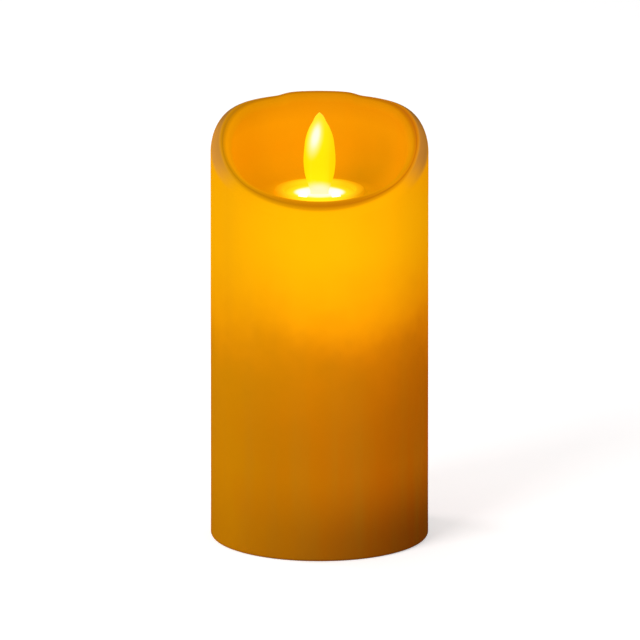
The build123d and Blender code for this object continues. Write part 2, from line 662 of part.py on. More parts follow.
def drive_transistor():
    """Transistor that drives the coil, lying flat against the board."""
    body = bar((10.0, BOARD_FACE_Y - 2.2, BOARD_Z + 8.5), (10.0, BOARD_FACE_Y - 2.2, BOARD_Z + 13.0), 2.2)
    body += on_board(10.0, 10.75, 4.4, 4.5, 2.2)
    for n in (-1, 0, 1):
        body += on_board(10.0 + n * 1.27, 7.5, 0.45, 2.4, 0.5)
    return body


def wire_sockets():
    """Three plug-in wire sockets on the board."""
    bodies = []
    for x, z, wide in SOCKETS.values():
        body = on_board(x, z, wide, SOCKET_TALL, SOCKET_DEPTH)
        body = chamfer(body.faces().sort_by(Axis.Y)[0].edges().filter_by(Axis.Z), 0.4)
        bodies.append(body.solid())
    return Compound(bodies)


def socket_foot(name, offset):
    """Where a wire enters a socket from below, offset sideways from its middle."""
    x, z, wide = SOCKETS[name]
    return x + offset, BOARD_FACE_Y - SOCKET_DEPTH / 2, BOARD_Z + z - SOCKET_TALL / 2


def socket_front(name, offset):
    """Where a wire enters a socket from the front, offset sideways from its middle."""
    x, z, wide = SOCKETS[name]
    return x + offset, BOARD_FACE_Y - SOCKET_DEPTH, BOARD_Z + z


# ------------------------------------------------------------------ base
def rounded_plate(half_x, y0, y1, z0, z1, corner):
    """A plate with rounded upright edges, centred on x = 0."""
    plate = block(-half_x, half_x, y0, y1, z0, z1)
    return fillet(plate.edges().filter_by(Axis.Z), corner)


def tab_places():
    return (-TAB_X, TAB_X)


def base():
    """Round base that plugs into the shell's foot, with the cell box, the screw bosses and the switch window."""
    body = cyl(BASE_R, BASE_LIFT, BASE_TOP_Z)
    body = chamfer(body.edges().group_by(Axis.Z)[0], 0.6)
    out_x, out_y = BOX_HALF_X + BOX_WALL, BOX_HALF_Y + BOX_WALL
    body += rounded_plate(out_x, -out_y, out_y, BASE_TOP_Z - 0.5, DECK_Z, BOX_CORNER)
    room = rounded_plate(BOX_HALF_X, -BOX_HALF_Y, BOX_HALF_Y, BASE_LIFT - 1, ROOF_Z, 1.5)
    body -= room
    rebate_x, rebate_y = BOX_HALF_X + DOOR_LEDGE, BOX_HALF_Y + DOOR_LEDGE
    body -= rounded_plate(rebate_x, -LIP_Y, rebate_y, BASE_LIFT - 1, DOOR_TOP_Z, RECESS_CORNER)

    for y in (-SADDLE_Y, SADDLE_Y):
        body += block(-BOX_HALF_X - 0.5, BOX_HALF_X + 0.5, y - SADDLE_T / 2, y + SADDLE_T / 2, CELL_Z, ROOF_Z + 0.5)
    for x in cell_places():
        reach = CELL_L / 2 + SPRING_L
        body -= bar((x, -reach, CELL_Z), (x, reach, CELL_Z), CELL_R + SADDLE_SLIP)

    for x in tab_places():
        half = TAB_W / 2 + TAB_PLAY
        pocket_y = -LIP_Y - TAB_REACH - 0.6
        body -= block(x - half, x + half, pocket_y, -BOX_HALF_Y + 1, DOOR_TOP_Z, DOOR_TOP_Z + 2.5)
    body -= Pos(0, rebate_y + 1.5, BASE_LIFT + THUMB_DEPTH - THUMB_R) * Rot(90, 0, 0) * Sphere(THUMB_R)

    for degrees in FRAME_SCREW_ANGLES:
        x, y = polar(BOSS_CIRCLE_R, degrees)
        body += cyl(BOSS_R, DECK_Z - 0.3, FRAME_Z, x, y)
        body -= cyl(SCREW_R + PILOT_SLIP, FRAME_Z - BOSS_H + 0.6, FRAME_Z + 1, x, y)

    pocket_y = SWITCH_L / 2 + 0.7
    pocket_x = SWITCH_W / 2 + 0.3
    body -= block(SWITCH_X - pocket_x, SWITCH_X + pocket_x, -pocket_y, pocket_y, BASE_LIFT - 1, BASE_LIFT + SWITCH_POCKET)
    window_x = KNOB_W / 2 + KNOB_PLAY
    window_y = KNOB_L / 2 + KNOB_TRAVEL + KNOB_PLAY
    body -= block(SWITCH_X - window_x, SWITCH_X + window_x, -window_y, window_y, BASE_LIFT, BASE_TOP_Z + 1)
    for y in (-SWITCH_SCREW_Y, SWITCH_SCREW_Y):
        body -= cyl(SCREW_R + PILOT_SLIP, BASE_LIFT + 0.8, BASE_TOP_Z + 1, SWITCH_X, y)
    for x, y in ((contact_x(0), BOX_HALF_Y), (contact_x(2), -BOX_HALF_Y)):
        body -= tail_slot(x, y)
    return body + switch_marks()


def tail_slot(x, wall_y):
    """Slot in the deck that a contact's solder tail comes up through."""
    inward = -math.copysign(1, wall_y)
    y0, y1 = sorted((wall_y + inward * (CONTACT_T + 0.15), wall_y - inward * 0.1))
    return block(x - 1.4, x + 1.4, y0, y1, ROOF_Z - 1, DECK_Z + 1)


def switch_marks():
    """Raised signs beside the switch window: a ring for off, a bar for on and a dial for the timer."""
    x = SWITCH_X + SWITCH_W / 2 + 2.0
    z0, z1 = BASE_LIFT - MARK_RELIEF, BASE_LIFT + 0.2
    pitch = KNOB_TRAVEL * 1.6
    marks = Pos(x, -pitch, 0) * ring(0.9, 0.55, z0, z1)
    marks += block(x - 0.9, x + 0.9, -0.18, 0.18, z0, z1)
    marks += Pos(x, pitch, 0) * ring(0.9, 0.6, z0, z1)
    marks += block(x - 0.12, x + 0.12, pitch, pitch + 0.7, z0, z1)
    return marks


def battery_door():
    """Door under the cells: two tabs at its front edge, a springy tongue at its rear edge."""
    half_x = BOX_HALF_X + DOOR_LEDGE - DOOR_SLIP
    front_y = -LIP_Y + DOOR_SLIP
    rear_y = BOX_HALF_Y + DOOR_LEDGE - DOOR_SLIP
    body = rounded_plate(half_x, front_y, rear_y, BASE_LIFT, DOOR_TOP_Z, DOOR_CORNER)
    bevel = make_face(Polyline(
        (0, front_y - 1, BASE_LIFT - 0.5), (0, front_y + DOOR_BEVEL + 0.15, BASE_LIFT - 0.5),
        (0, front_y + DOOR_BEVEL, BASE_LIFT), (0, front_y, DOOR_TOP_Z - 0.2), (0, front_y - 1, DOOR_TOP_Z - 0.2),
        close=True,
    ))
    body -= extrude(bevel, amount=half_x + 1, both=True, dir=(1, 0, 0))
    inside_x = BOX_HALF_X - DOOR_SLIP
    for x in tab_places():
        half = TAB_W / 2
        body += block(x - half, x + half, front_y, front_y + 2.3, DOOR_TOP_Z - 0.1, DOOR_TOP_Z + 0.1 + TAB_T)
        body += block(x - half, x + half, front_y - TAB_REACH, front_y + 1, DOOR_TOP_Z + 0.1, DOOR_TOP_Z + 0.1 + TAB_T)
    for side in (-1, 1):
        x = side * (LATCH_W / 2 + LATCH_SLOT / 2)
        y0 = rear_y - LATCH_TONGUE_L
        body -= block(x - LATCH_SLOT / 2, x + LATCH_SLOT / 2, y0, rear_y + 1, BASE_LIFT - 1, DOOR_TOP_Z + 1)
    nib = block(-LATCH_W / 2 + 1, LATCH_W / 2 - 1, BOX_HALF_Y - 2.2, BOX_HALF_Y - 0.3, DOOR_TOP_Z - 0.1, DOOR_TOP_Z + 1.2)
    body += nib
    for n in range(4):
        y = rear_y - 2.0 - n * 1.6
        body += block(-LATCH_W / 2 + 1, LATCH_W / 2 - 1, y - 0.3, y + 0.3, BASE_LIFT - 0.35, BASE_LIFT + 0.1)
    for n, x in enumerate(cell_places()):
        for way in (-1, 1):
            positive = way == cell_way(n)
            body += polarity_mark(x, way * (CELL_L / 2 - 7), positive)
    rib_y = 6.0
    for y in (-rib_y, rib_y):
        body += block(-inside_x, inside_x, y - 0.4, y + 0.4, DOOR_TOP_Z - 0.1, DOOR_TOP_Z + 0.15)
    return body


def polarity_mark(x, y, positive):
    """A raised plus or minus sign inside the door."""
    z0, z1 = DOOR_TOP_Z - 0.1, DOOR_TOP_Z + MARK_RELIEF
    half, stroke = POLARITY_MARK / 2, POLARITY_STROKE / 2
    mark = block(x - half, x + half, y - stroke, y + stroke, z0, z1)
    if positive:
        mark += block(x - stroke, x + stroke, y - half, y + half, z0, z1)
    return mark


# ------------------------------------------------------------------ cells and contacts
def cell_places():
    middle = (CELL_COUNT - 1) / 2
    return [(n - middle) * CELL_PITCH for n in range(CELL_COUNT)]


def cell_way(n):
    """1 where a cell's positive end points to the back, -1 where it points to the front."""
    return 1 if n % 2 == 0 else -1


def contact_x(n):
    return cell_places()[n]


def battery_cell(n):
    """One AAA cell, lying along Y, with its nub towards its positive contact."""
    can = CELL_L - CELL_NUB_H
    groove = 0.35
    body = turned([
        (0, 0), (CELL_R - 0.9, 0), (CELL_R - 0.7, 0.25), (CELL_R - 0.2, 0.25), (CELL_R, 0.5), (CELL_R, can - 0.7),
        (CELL_R - 0.3, can - 0.3), (CELL_R - 1.0, can - 0.2), (CELL_R - 1.0 - groove, can - 0.5),
        (CELL_NUB_R + 0.7, can - 0.5), (CELL_NUB_R + 0.3, can), (CELL_NUB_R, can), (CELL_NUB_R, CELL_L), (0, CELL_L),
    ])
    way = cell_way(n)
    start = -way * (BOX_HALF_Y - CONTACT_T - SPRING_L)
    turn = Rot(-90, 0, 0) if way > 0 else Rot(90, 0, 0)
    return Pos(contact_x(n), start, CELL_Z) * turn * body


def contact_plate(x0, x1, way):
    """A flat contact on the front (-1) or rear (1) wall of the cell box."""
    wall = way * BOX_HALF_Y
    y0, y1 = sorted((wall, wall - way * CONTACT_T))
    half = CELL_R * 0.72
    plate = block(x0 - half, x1 + half, y0, y1, CELL_Z - half + 0.6, CELL_Z + half + 0.4)
    return fillet(plate.edges().filter_by(Axis.Y), 0.8)


def dimple(n):
    """The bump that meets a cell's nub."""
    way = cell_way(n)
    face = way * (BOX_HALF_Y - CONTACT_T)
    x = contact_x(n)
    start, end = (x, face + way * 0.1, CELL_Z), (x, face - way * DIMPLE_H, CELL_Z)
    bump = bar(start, end, DIMPLE_R)
    tip = bump.edges().sort_by(lambda e: abs(e.center().Y))[0]
    return fillet(tip, DIMPLE_H * 0.6)


def solder_tail(n, way):
    """Tail of a contact, up through the deck."""
    wall = way * BOX_HALF_Y
    y0, y1 = sorted((wall, wall - way * CONTACT_T))
    x = contact_x(n)
    return block(x - 1.2, x + 1.2, y0, y1, CELL_Z, DECK_Z + 2.2)


def contact_positive():
    return contact_plate(contact_x(0), contact_x(0), 1) + dimple(0) + solder_tail(0, 1)


def contact_negative():
    return contact_plate(contact_x(2), contact_x(2), -1) + solder_tail(2, -1)


def contact_bridge_front():
    return contact_plate(contact_x(0), contact_x(1), -1) + dimple(1)


def contact_bridge_rear():
    return contact_plate(contact_x(1), contact_x(2), 1) + dimple(2)


def contact_spring(n):
    """Cone spring between a contact plate and a cell's flat end."""
    way = cell_way(n)
    rise = SPRING_L - 2 * SPRING_WIRE_R
    steps = round(SPRING_TURNS * 12)
    points = []
    for i in range(steps + 1):
        share = i / steps
        x, y = polar(SPRING_WIDE_R - SPRING_TAPER * share, 360 * SPRING_TURNS * share)
        points.append((x, y, rise * share))
    path = Spline(*points)
    coil = sweep(Plane(origin=path @ 0, z_dir=path % 0) * Circle(SPRING_WIRE_R), path=path)
    start = -way * (BOX_HALF_Y - CONTACT_T - SPRING_WIRE_R)
    turn = Rot(-90, 0, 0) if way > 0 else Rot(90, 0, 0)
    return Pos(contact_x(n), start, CELL_Z) * turn * coil


# ------------------------------------------------------------------ switch
def switch_case():
    """Steel cover of the switch, with an ear at each end."""
    z0 = BASE_TOP_Z
    half_x, half_y = SWITCH_W / 2, SWITCH_L / 2
    body = block(SWITCH_X - half_x, SWITCH_X + half_x, -SWITCH_EARS / 2, SWITCH_EARS / 2, z0, z0 + SWITCH_PLATE_T)
    body = fillet(body.edges().filter_by(Axis.Z), 1.5)
    skin = block(SWITCH_X - half_x, SWITCH_X + half_x, -half_y, half_y, z0, z0 + SWITCH_H)
    body += skin
    inner = block(
        SWITCH_X - half_x + SWITCH_SKIN, SWITCH_X + half_x - SWITCH_SKIN,
        -half_y + SWITCH_SKIN, half_y - SWITCH_SKIN, z0 + SWITCH_PLATE_T, z0 + SWITCH_H + 1,
    )
    body -= inner
    window_x = KNOB_W / 2 + KNOB_PLAY
    window_y = KNOB_L / 2 + KNOB_TRAVEL + KNOB_PLAY
    body -= block(SWITCH_X - window_x, SWITCH_X + window_x, -window_y, window_y, z0 - 1, z0 + SWITCH_H)
    for y in (-SWITCH_SCREW_Y, SWITCH_SCREW_Y):
        body -= cyl(SCREW_R + SCREW_CLEAR, z0 - 1, z0 + 1, SWITCH_X, y)
    return body


def switch_pin_places():
    return [(SWITCH_X, (n - 1.5) * SWITCH_PIN_PITCH) for n in range(4)]


def switch_carrier():
    """Insulating block in the back of the switch, with its four pins."""
    z1 = BASE_TOP_Z + SWITCH_H
    half_x = SWITCH_W / 2 - SWITCH_SKIN
    half_y = SWITCH_L / 2 - SWITCH_SKIN
    body = block(SWITCH_X - half_x, SWITCH_X + half_x, -half_y, half_y, z1 - 1.6, z1)
    for x, y in switch_pin_places():
        body += block(x - 0.45, x + 0.45, y - 0.2, y + 0.2, z1 - 0.5, z1 + SWITCH_PIN_L)
    return body


def switch_knob():
    """Slider with a ribbed thumb pad that stands out under the base."""
    top = BASE_TOP_Z + SWITCH_H - 1.6 - 0.2
    half_x, half_y = KNOB_W / 2, KNOB_L / 2
    stem = block(SWITCH_X - half_x, SWITCH_X + half_x, -half_y, half_y, KNOB_TIP_ABOVE_TABLE + 0.4, top)
    pad_z = BASE_LIFT + SWITCH_POCKET - 0.2
    pad_x, pad_y = half_x + KNOB_PAD, half_y + KNOB_PAD
    pad = block(SWITCH_X - pad_x, SWITCH_X + pad_x, -pad_y, pad_y, pad_z - KNOB_PAD_T, pad_z)
    head_x, head_y = half_x + KNOB_HEAD, half_y + KNOB_HEAD
    head_z = BASE_TOP_Z + SWITCH_PLATE_T + 0.2
    head = block(SWITCH_X - head_x, SWITCH_X + head_x, -head_y, head_y, head_z, top)
    body = stem + pad + head
    tip_z = KNOB_TIP_ABOVE_TABLE
    for n in (-1, 0, 1):
        y = n * 1.1
        body += block(SWITCH_X - half_x, SWITCH_X + half_x, y - 0.25, y + 0.25, tip_z, pad_z - KNOB_PAD_T + 0.3)
    return body


def switch_screws():
    """Two screws through the switch's ears into the base."""
    z = BASE_TOP_Z + SWITCH_PLATE_T
    return Compound([(Pos(SWITCH_X, y, z) * screw(BASE_T - 0.8)).solid() for y in (-SWITCH_SCREW_Y, SWITCH_SCREW_Y)])


# ------------------------------------------------------------------ wiring
def wire_positive():
    """Red lead, from the positive contact's tail, over the frame's foot ring, to the board's power socket."""
    start = Vector(contact_x(0), BOX_HALF_Y - CONTACT_T - INSULATION_R, DECK_Z + 1.4)
    end = Vector(*socket_foot("power", -POWER_PITCH / 2))
    over = FRAME_FLOOR_Z + WIRE_OVER_RING
    return routed([start, (start.X, start.Y, over), (end.X, end.Y, over), end], INSULATION_R)


def wire_negative():
    """Black lead, from the negative contact's tail to the switch."""
    x, y = switch_pin_places()[0]
    start = Vector(contact_x(2), CONTACT_T + INSULATION_R - BOX_HALF_Y, DECK_Z + 1.4)
    top = BASE_TOP_Z + SWITCH_H + SWITCH_PIN_L
    under = FRAME_Z - 1.6
    points = [
        start, (start.X, start.Y, under), (x - 2.5, y - 10, under - 1.0), (x, y, top + 6.0), (x, y, top),
    ]
    return routed(points, INSULATION_R)


def wire_switched():
    """Blue lead, from the switch, over the frame's foot ring, to the board's power socket."""
    x, y = switch_pin_places()[2]
    top = BASE_TOP_Z + SWITCH_H + SWITCH_PIN_L
    end = Vector(*socket_foot("power", POWER_PITCH / 2))
    over = FRAME_FLOOR_Z + WIRE_OVER_RING
    points = [
        (x, y, top), (x, y, over + 2.0), (REAR_LEG_X - 6, REAR_LEG_Y - LEG_D - 1, over + 1.0),
        (end.X, end.Y, over), end,
    ]
    return routed(points, INSULATION_R)


def coil_wires():
    """The coil's two leads, down through the module's floor and the head ring to the board."""
    wires = []
    for (x, y), side in zip(coil_lead_places(), (-1, 1)):
        end = Vector(*socket_front("coil", side * SOCKET_PITCH / 2))
        start = Vector(x, y, BOBBIN_Z + BOBBIN_FLANGE_T)
        low = Vector(x, y, FRAME_HEAD_Z - 3.0)
        points = [start, low, (end.X, end.Y - 6.5, end.Z), end]
        wires.append(routed(points, LOOM_R).solid())
    return Compound(wires)


def led_wires():
    """The LED board's two leads, out through the housing's notch, down beside the frame and in to the board."""
    wires = []
    board_z = LED_BOARD_TOP_Z - LED_BOARD_T
    notch_z = board_z - LEDGE_T - NOTCH_H / 2
    middle = (NOTCH_X[0] + NOTCH_X[1]) / 2
    for side in (-1, 1):
        end = Vector(*socket_front("led", side * SOCKET_PITCH / 2))
        x = middle - 2.0 + side * 0.8
        turn_x, turn_y = polar(FRAME_HEAD_R + 3.0, LED_WIRE_ANGLE + side * 2.2)
        points = [
            (x, -10.2, board_z), (x, -10.2, notch_z), (x + 3.5, -SHELL_R - 2.6, notch_z),
            (turn_x, turn_y, notch_z - 8), (turn_x, turn_y, end.Z - 2), (end.X, end.Y - 8, end.Z), end,
        ]
        wires.append(routed(points, LOOM_R).solid())
    return Compound(wires)


def all_parts():
    """Every sub-part, by its name."""
    housing = module_shell()
    parts = {
        "wax_shell": wax_shell(),
        "flame_collar": flame_collar(),
        "flame": flame(),
        "flame_magnet": flame_magnet(),
        "pivot_wire": pivot_wire(),
        "module_shell_front": half_of(housing, True),
        "module_shell_rear": half_of(housing, False),
        "module_screws": module_screws(),
        "led_left": led(-1),
        "led_right": led(1),
        "led_leads": led_leads(),
        "led_board": led_board(),
        "coil_bobbin": coil_bobbin(),
        "coil_winding": coil_winding(),
        "spacer_frame": spacer_frame(),
        "frame_screws": frame_screws(),
        "mount_screws": mount_screws(),
        "control_board": control_board(),
        "board_screws": board_screws(),
        "control_chip": control_chip(),
        "timer_crystal": timer_crystal(),
        "board_capacitors": board_capacitors(),
        "board_resistors": board_resistors(),
        "drive_transistor": drive_transistor(),
        "wire_sockets": wire_sockets(),
        "base": base(),
        "battery_door": battery_door(),
        "contact_positive": contact_positive(),
        "contact_negative": contact_negative(),
        "contact_bridge_front": contact_bridge_front(),
        "contact_bridge_rear": contact_bridge_rear(),
        "switch_case": switch_case(),
        "switch_carrier": switch_carrier(),
        "switch_knob": switch_knob(),
        "switch_screws": switch_screws(),
        "wire_positive": wire_positive(),
        "wire_negative": wire_negative(),
        "wire_switched": wire_switched(),
        "coil_wires": coil_wires(),
        "led_wires": led_wires(),
    }
    for n in range(CELL_COUNT):
        parts[f"battery_cell_{n + 1}"] = battery_cell(n)
        parts[f"contact_spring_{n + 1}"] = contact_spring(n)
    return parts


def main():
    os.makedirs("parts", exist_ok=True)
    for name, shape in all_parts().items():
        export_step(shape, f"parts/{name}.step")


main()
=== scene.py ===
import json
import math

import bmesh
import bpy
import numpy as np
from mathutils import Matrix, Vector

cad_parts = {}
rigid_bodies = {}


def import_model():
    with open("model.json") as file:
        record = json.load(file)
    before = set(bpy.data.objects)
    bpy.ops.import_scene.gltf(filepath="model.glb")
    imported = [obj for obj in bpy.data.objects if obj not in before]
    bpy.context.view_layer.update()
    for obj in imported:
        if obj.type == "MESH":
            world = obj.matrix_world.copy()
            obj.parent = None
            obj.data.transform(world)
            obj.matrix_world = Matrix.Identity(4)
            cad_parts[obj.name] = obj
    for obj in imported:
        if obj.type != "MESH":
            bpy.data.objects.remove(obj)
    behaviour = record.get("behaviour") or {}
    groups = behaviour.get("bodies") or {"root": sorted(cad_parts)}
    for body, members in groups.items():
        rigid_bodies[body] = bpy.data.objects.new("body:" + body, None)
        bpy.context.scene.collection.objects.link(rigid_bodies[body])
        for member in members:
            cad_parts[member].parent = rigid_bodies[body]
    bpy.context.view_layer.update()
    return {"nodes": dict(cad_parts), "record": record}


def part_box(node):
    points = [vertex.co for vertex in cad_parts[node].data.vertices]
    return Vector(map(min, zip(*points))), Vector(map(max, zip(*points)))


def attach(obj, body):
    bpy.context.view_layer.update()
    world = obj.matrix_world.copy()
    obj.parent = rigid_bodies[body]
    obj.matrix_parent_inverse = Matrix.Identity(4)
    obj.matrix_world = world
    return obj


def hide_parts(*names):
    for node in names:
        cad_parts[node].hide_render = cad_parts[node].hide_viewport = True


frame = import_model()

# The flameless candle: a glowing amber wax shell with a melted bowl, a flame paddle lit by two LEDs, and the
# module, frame, board, battery box and switch inside and under it.  Blender's lengths are metres.

MM = 0.001


def node_box(name):
    low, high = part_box(name)
    return Vector(low), Vector(high)


# ------------------------------------------------------------------ sizes of the wax shell, in millimetres
wax_high = node_box("wax_shell")[1]

BODY_R = wax_high.x / MM
RIM_TOP = 148.8
WAX_WALL = 5.0
RIM_WALL = 7.5
BOWL_R = BODY_R - RIM_WALL
BORE_R = BODY_R - WAX_WALL
FOOT_REBATE = 2.0
FOOT_BORE_R = BORE_R + FOOT_REBATE
FOOT_STEP_Z = 6.0
BOWL_Z = 121.5
BOWL_FILLET = 9.0
BOWL_FLOOR = 4.0
WEB_Z = BOWL_Z - BOWL_FLOOR
BORE_FILLET = 11.0
HOLE_R = 13.6
HOLE_ROUND = 0.4
OUTER_ROUND = 4.2
BACK_ROUND = 3.0
INNER_ROUND = 3.0
FOOT_ROUND = 1.2
SLOPE = math.tan(math.radians(24.0))
LEVEL_Y = 18.5
KNEE = 4.0
WAVE_H = 0.9
WAVE_HALF_W = 12.6
WAVE_STEEPNESS = 8
WAVE_START_Y = 15.0
WAVE_BLEND = 3.0
TURNS = 288
ROUNDING_ROWS = 15

# ------------------------------------------------------------------ the lights and the flame, in millimetres
FOOT_LIGHT = (0.0, 1.0, 122.0)
FRONT_LIGHT = (0.0, -3.5, 122.0)
LED_X = 5.2
LED_Z = 122.9
LED_H = 5.5
FLAME_NECK_Z = 120.5
FLAME_WIDE_Z = 133.2
FLAME_TIP_Z = 149.7
FLAME_HALF_W = 5.5


# ------------------------------------------------------------------ mesh helpers
def mesh_object(name, verts, faces, smooth=True):
    mesh = bpy.data.meshes.new(name)
    mesh.from_pydata([tuple(v) for v in verts], [], faces)
    mesh.polygons.foreach_set("use_smooth", [smooth] * len(mesh.polygons))
    mesh.update()
    ob = bpy.data.objects.new(name, mesh)
    bpy.context.scene.collection.objects.link(ob)
    return ob


def settle(ob):
    """Turns an object with modifiers into one with a plain mesh."""
    deps = bpy.context.evaluated_depsgraph_get()
    mesh = bpy.data.meshes.new_from_object(ob.evaluated_get(deps), depsgraph=deps)
    mesh.name = ob.name
    ob.modifiers.clear()
    ob.data = mesh
    return ob


def add_node(tree, kind, inputs, settings):
    """Adds a node to a tree, with its settings made and its inputs linked or given a value."""
    made = tree.nodes.new(kind)
    for key, value in settings.items():
        setattr(made, key, value)
    for key, value in (inputs or {}).items():
        target = made.inputs[key]
        if isinstance(value, bpy.types.NodeSocket):
            tree.links.new(value, target)
        else:
            target.default_value = value
    return made


# ------------------------------------------------------------------ wax shell
def rim_height(x, y):
    """Height of the rim's free surface before its edges are rounded."""

    def fall(at_y):
        t = (LEVEL_Y - at_y) / KNEE
        return SLOPE * KNEE * (math.log1p(math.exp(-abs(t))) + max(t, 0.0))

    bump = math.exp(-((x / WAVE_HALF_W) ** WAVE_STEEPNESS))
    wave = WAVE_H * bump / (1 + math.exp((WAVE_START_Y - y) / WAVE_BLEND))
    return RIM_TOP - WAVE_H + wave - (fall(y) - fall(BODY_R - OUTER_ROUND))


def arc_points(cx, cz, radius, start, end, count):
    """Points on an arc, from one angle to another, in degrees."""
    return [
        (cx + radius * math.cos(math.radians(a)), cz + radius * math.sin(math.radians(a)))
        for a in np.linspace(start, end, count)
    ]


def rounded_corner(start, corner, end, count):
    """Points on the conic that rounds a corner, tangent at its start and its end."""
    a, c, b = (np.array(p, float) for p in (start, corner, end))
    u, v = a - c, b - c
    cosine = float(u @ v) / (np.linalg.norm(u) * np.linalg.norm(v))
    weight = math.sqrt((1 - max(-1.0, min(1.0, cosine))) / 2)
    points = []
    for t in np.linspace(0, 1, count):
        k0, k1, k2 = (1 - t) ** 2, 2 * t * (1 - t) * weight, t * t
        points.append(tuple((k0 * a + k1 * c + k2 * b) / (k0 + k1 + k2)))
    return points


def crossing(p, d, q, e):
    """Where the line through p along d meets the line through q along e."""
    s = ((q[0] - p[0]) * e[1] - (q[1] - p[1]) * e[0]) / (d[0] * e[1] - d[1] * e[0])
    return p[0] + s * d[0], p[1] + s * d[1]


def ramp_up(k, start, end):
    """0 up to start, 1 from end on, and a soft step between."""
    t = max(0.0, min(1.0, (k - start) / (end - start)))
    return t * t * (3 - 2 * t)


def outside_share(k):
    """How far row k of the rim's outer rounding counts as its turned-over outside."""
    return ramp_up(k, 0, 5) * (1 - ramp_up(k, 11, 14))


def inside_profile():
    """The bowl's inside, outwards along its fillet and up its wall to above the rim."""
    centre_r, centre_z = BOWL_R - BOWL_FILLET, BOWL_Z + BOWL_FILLET
    fillet = arc_points(centre_r, centre_z, BOWL_FILLET, 270, 360, 120)
    return fillet + [(BOWL_R, z) for z in np.linspace(centre_z, RIM_TOP + 8, 240)[1:]]


def inner_edge(top):
    """Start, corner and end of the rounding from the rim into the bowl, and the bowl's profile below it."""
    inside = inside_profile()
    cut = next(i for i, (r, z) in enumerate(inside) if z > top(r))
    (r0, z0), (r1, z1) = inside[cut - 1], inside[cut]
    d0, d1 = top(r0) - z0, z1 - top(r1)
    share = d0 / (d0 + d1)
    edge = (r0 + (r1 - r0) * share, z0 + (z1 - z0) * share)

    slope = (top(edge[0] + 1) - top(edge[0] - 1)) / 2
    down = np.array(inside[cut - 12]) - np.array(edge)
    along = np.array([1.0, slope])
    turn = math.acos(float(down @ along) / (np.linalg.norm(down) * np.linalg.norm(along)))
    reach = INNER_ROUND / math.tan(turn / 2)
    walked, i, end = 0.0, cut - 1, edge
    while walked < reach and i > 1:
        walked += math.dist(end, inside[i])
        end = inside[i]
        i -= 1
    above = inside[i + 2]
    up_wall = (above[0] - end[0], above[1] - end[1])

    start_r = edge[0] + reach / math.hypot(1, slope)
    start = (start_r, top(start_r))
    along_rim = (1.0, top(start_r + 0.5) - top(start_r - 0.5))
    return start, crossing(end, up_wall, start, along_rim), end, inside[:i + 1]


def outer_edge(top, sine):
    """Start, corner and end of the rounding from the wall onto the rim, which is tighter at the back."""
    slope = (top(BODY_R) - top(BODY_R - 2)) / 2
    turn = math.pi / 2 - math.atan(slope)
    rounding = OUTER_ROUND + (BACK_ROUND - OUTER_ROUND) * ramp_up(sine, -0.3, 0.5)
    reach = rounding / math.tan(turn / 2)
    end_r = BODY_R - reach / math.hypot(1, slope)
    end = (end_r, top(end_r))
    along_rim = (1.0, top(end_r + 0.5) - top(end_r - 0.5))
    corner = crossing((BODY_R, 0.0), (0.0, 1.0), end, along_rim)
    return (BODY_R, corner[1] - math.dist(corner, end)), corner, end


def unmarked(points):
    """Rows that belong neither to the rim's outside nor to its crest."""
    return [(r, z, 0, 0) for r, z in points]


def wall_section(angle):
    """One closed section of the shell: rows of radius, height, and shares of the rim's outside and crest."""
    ca, sa = math.cos(angle), math.sin(angle)

    def top(r):
        return rim_height(r * ca, r * sa)

    wall_top, out_corner, rim_out = outer_edge(top, sa)
    rim_in, in_corner, bowl_top, bowl = inner_edge(top)

    rows = unmarked([(FOOT_BORE_R, 0.0), ((FOOT_BORE_R + BODY_R - FOOT_ROUND) / 2, 0.0)])
    rows += unmarked(arc_points(BODY_R - FOOT_ROUND, FOOT_ROUND, FOOT_ROUND, -90, 0, 7))
    rows += unmarked((BODY_R, z) for z in np.linspace(FOOT_ROUND, wall_top[1], 58)[1:-1])
    outer = rounded_corner(wall_top, out_corner, rim_out, ROUNDING_ROWS)
    rows += [(r, z, outside_share(k), 0.6 * ramp_up(k, 10, 14)) for k, (r, z) in enumerate(outer)]
    middle = (rim_out[0] + rim_in[0]) / 2
    rows.append((middle, top(middle), 0.1, 1.0))
    inner = rounded_corner(rim_in, in_corner, bowl_top, ROUNDING_ROWS)
    rows += [(r, z, 0, 0.6 * (1 - ramp_up(k, 0, 4))) for k, (r, z) in enumerate(inner)]
    down = bowl[::-1]
    rows += unmarked(down[int(round(k))] for k in np.linspace(0, len(down) - 1, 26))
    rows += unmarked((r, BOWL_Z) for r in np.linspace(BOWL_R - BOWL_FILLET, HOLE_R + HOLE_ROUND, 7)[1:])
    rows += unmarked(arc_points(HOLE_R + HOLE_ROUND, BOWL_Z - HOLE_ROUND, HOLE_ROUND, 90, 180, 4)[1:])
    rows += unmarked((HOLE_R, z) for z in np.linspace(BOWL_Z - HOLE_ROUND, WEB_Z, 4)[1:])
    rows += unmarked((r, WEB_Z) for r in np.linspace(HOLE_R, BORE_R - BORE_FILLET, 5)[1:])
    rows += unmarked(arc_points(BORE_R - BORE_FILLET, WEB_Z - BORE_FILLET, BORE_FILLET, 90, 0, 11)[1:])
    rows += unmarked((BORE_R, z) for z in np.linspace(WEB_Z - BORE_FILLET, FOOT_STEP_Z, 16)[1:])
    return rows + unmarked([(FOOT_BORE_R, FOOT_STEP_Z), (FOOT_BORE_R, FOOT_STEP_Z / 2)])


def sharp_rows():
    """The rows of a section that stay sharp: the foot's bore and its step, and the hole's lower edge."""
    marks = set()
    for k, (r, z, _, _) in enumerate(wall_section(0.0)):
        at_hole = abs(r - HOLE_R) < 1e-6 and abs(z - WEB_Z) < 1e-6
        at_step = abs(z - FOOT_STEP_Z) < 1e-6 and r <= FOOT_BORE_R + 1e-6
        if k == 0 or at_hole or at_step:
            marks.add(k)
    return marks


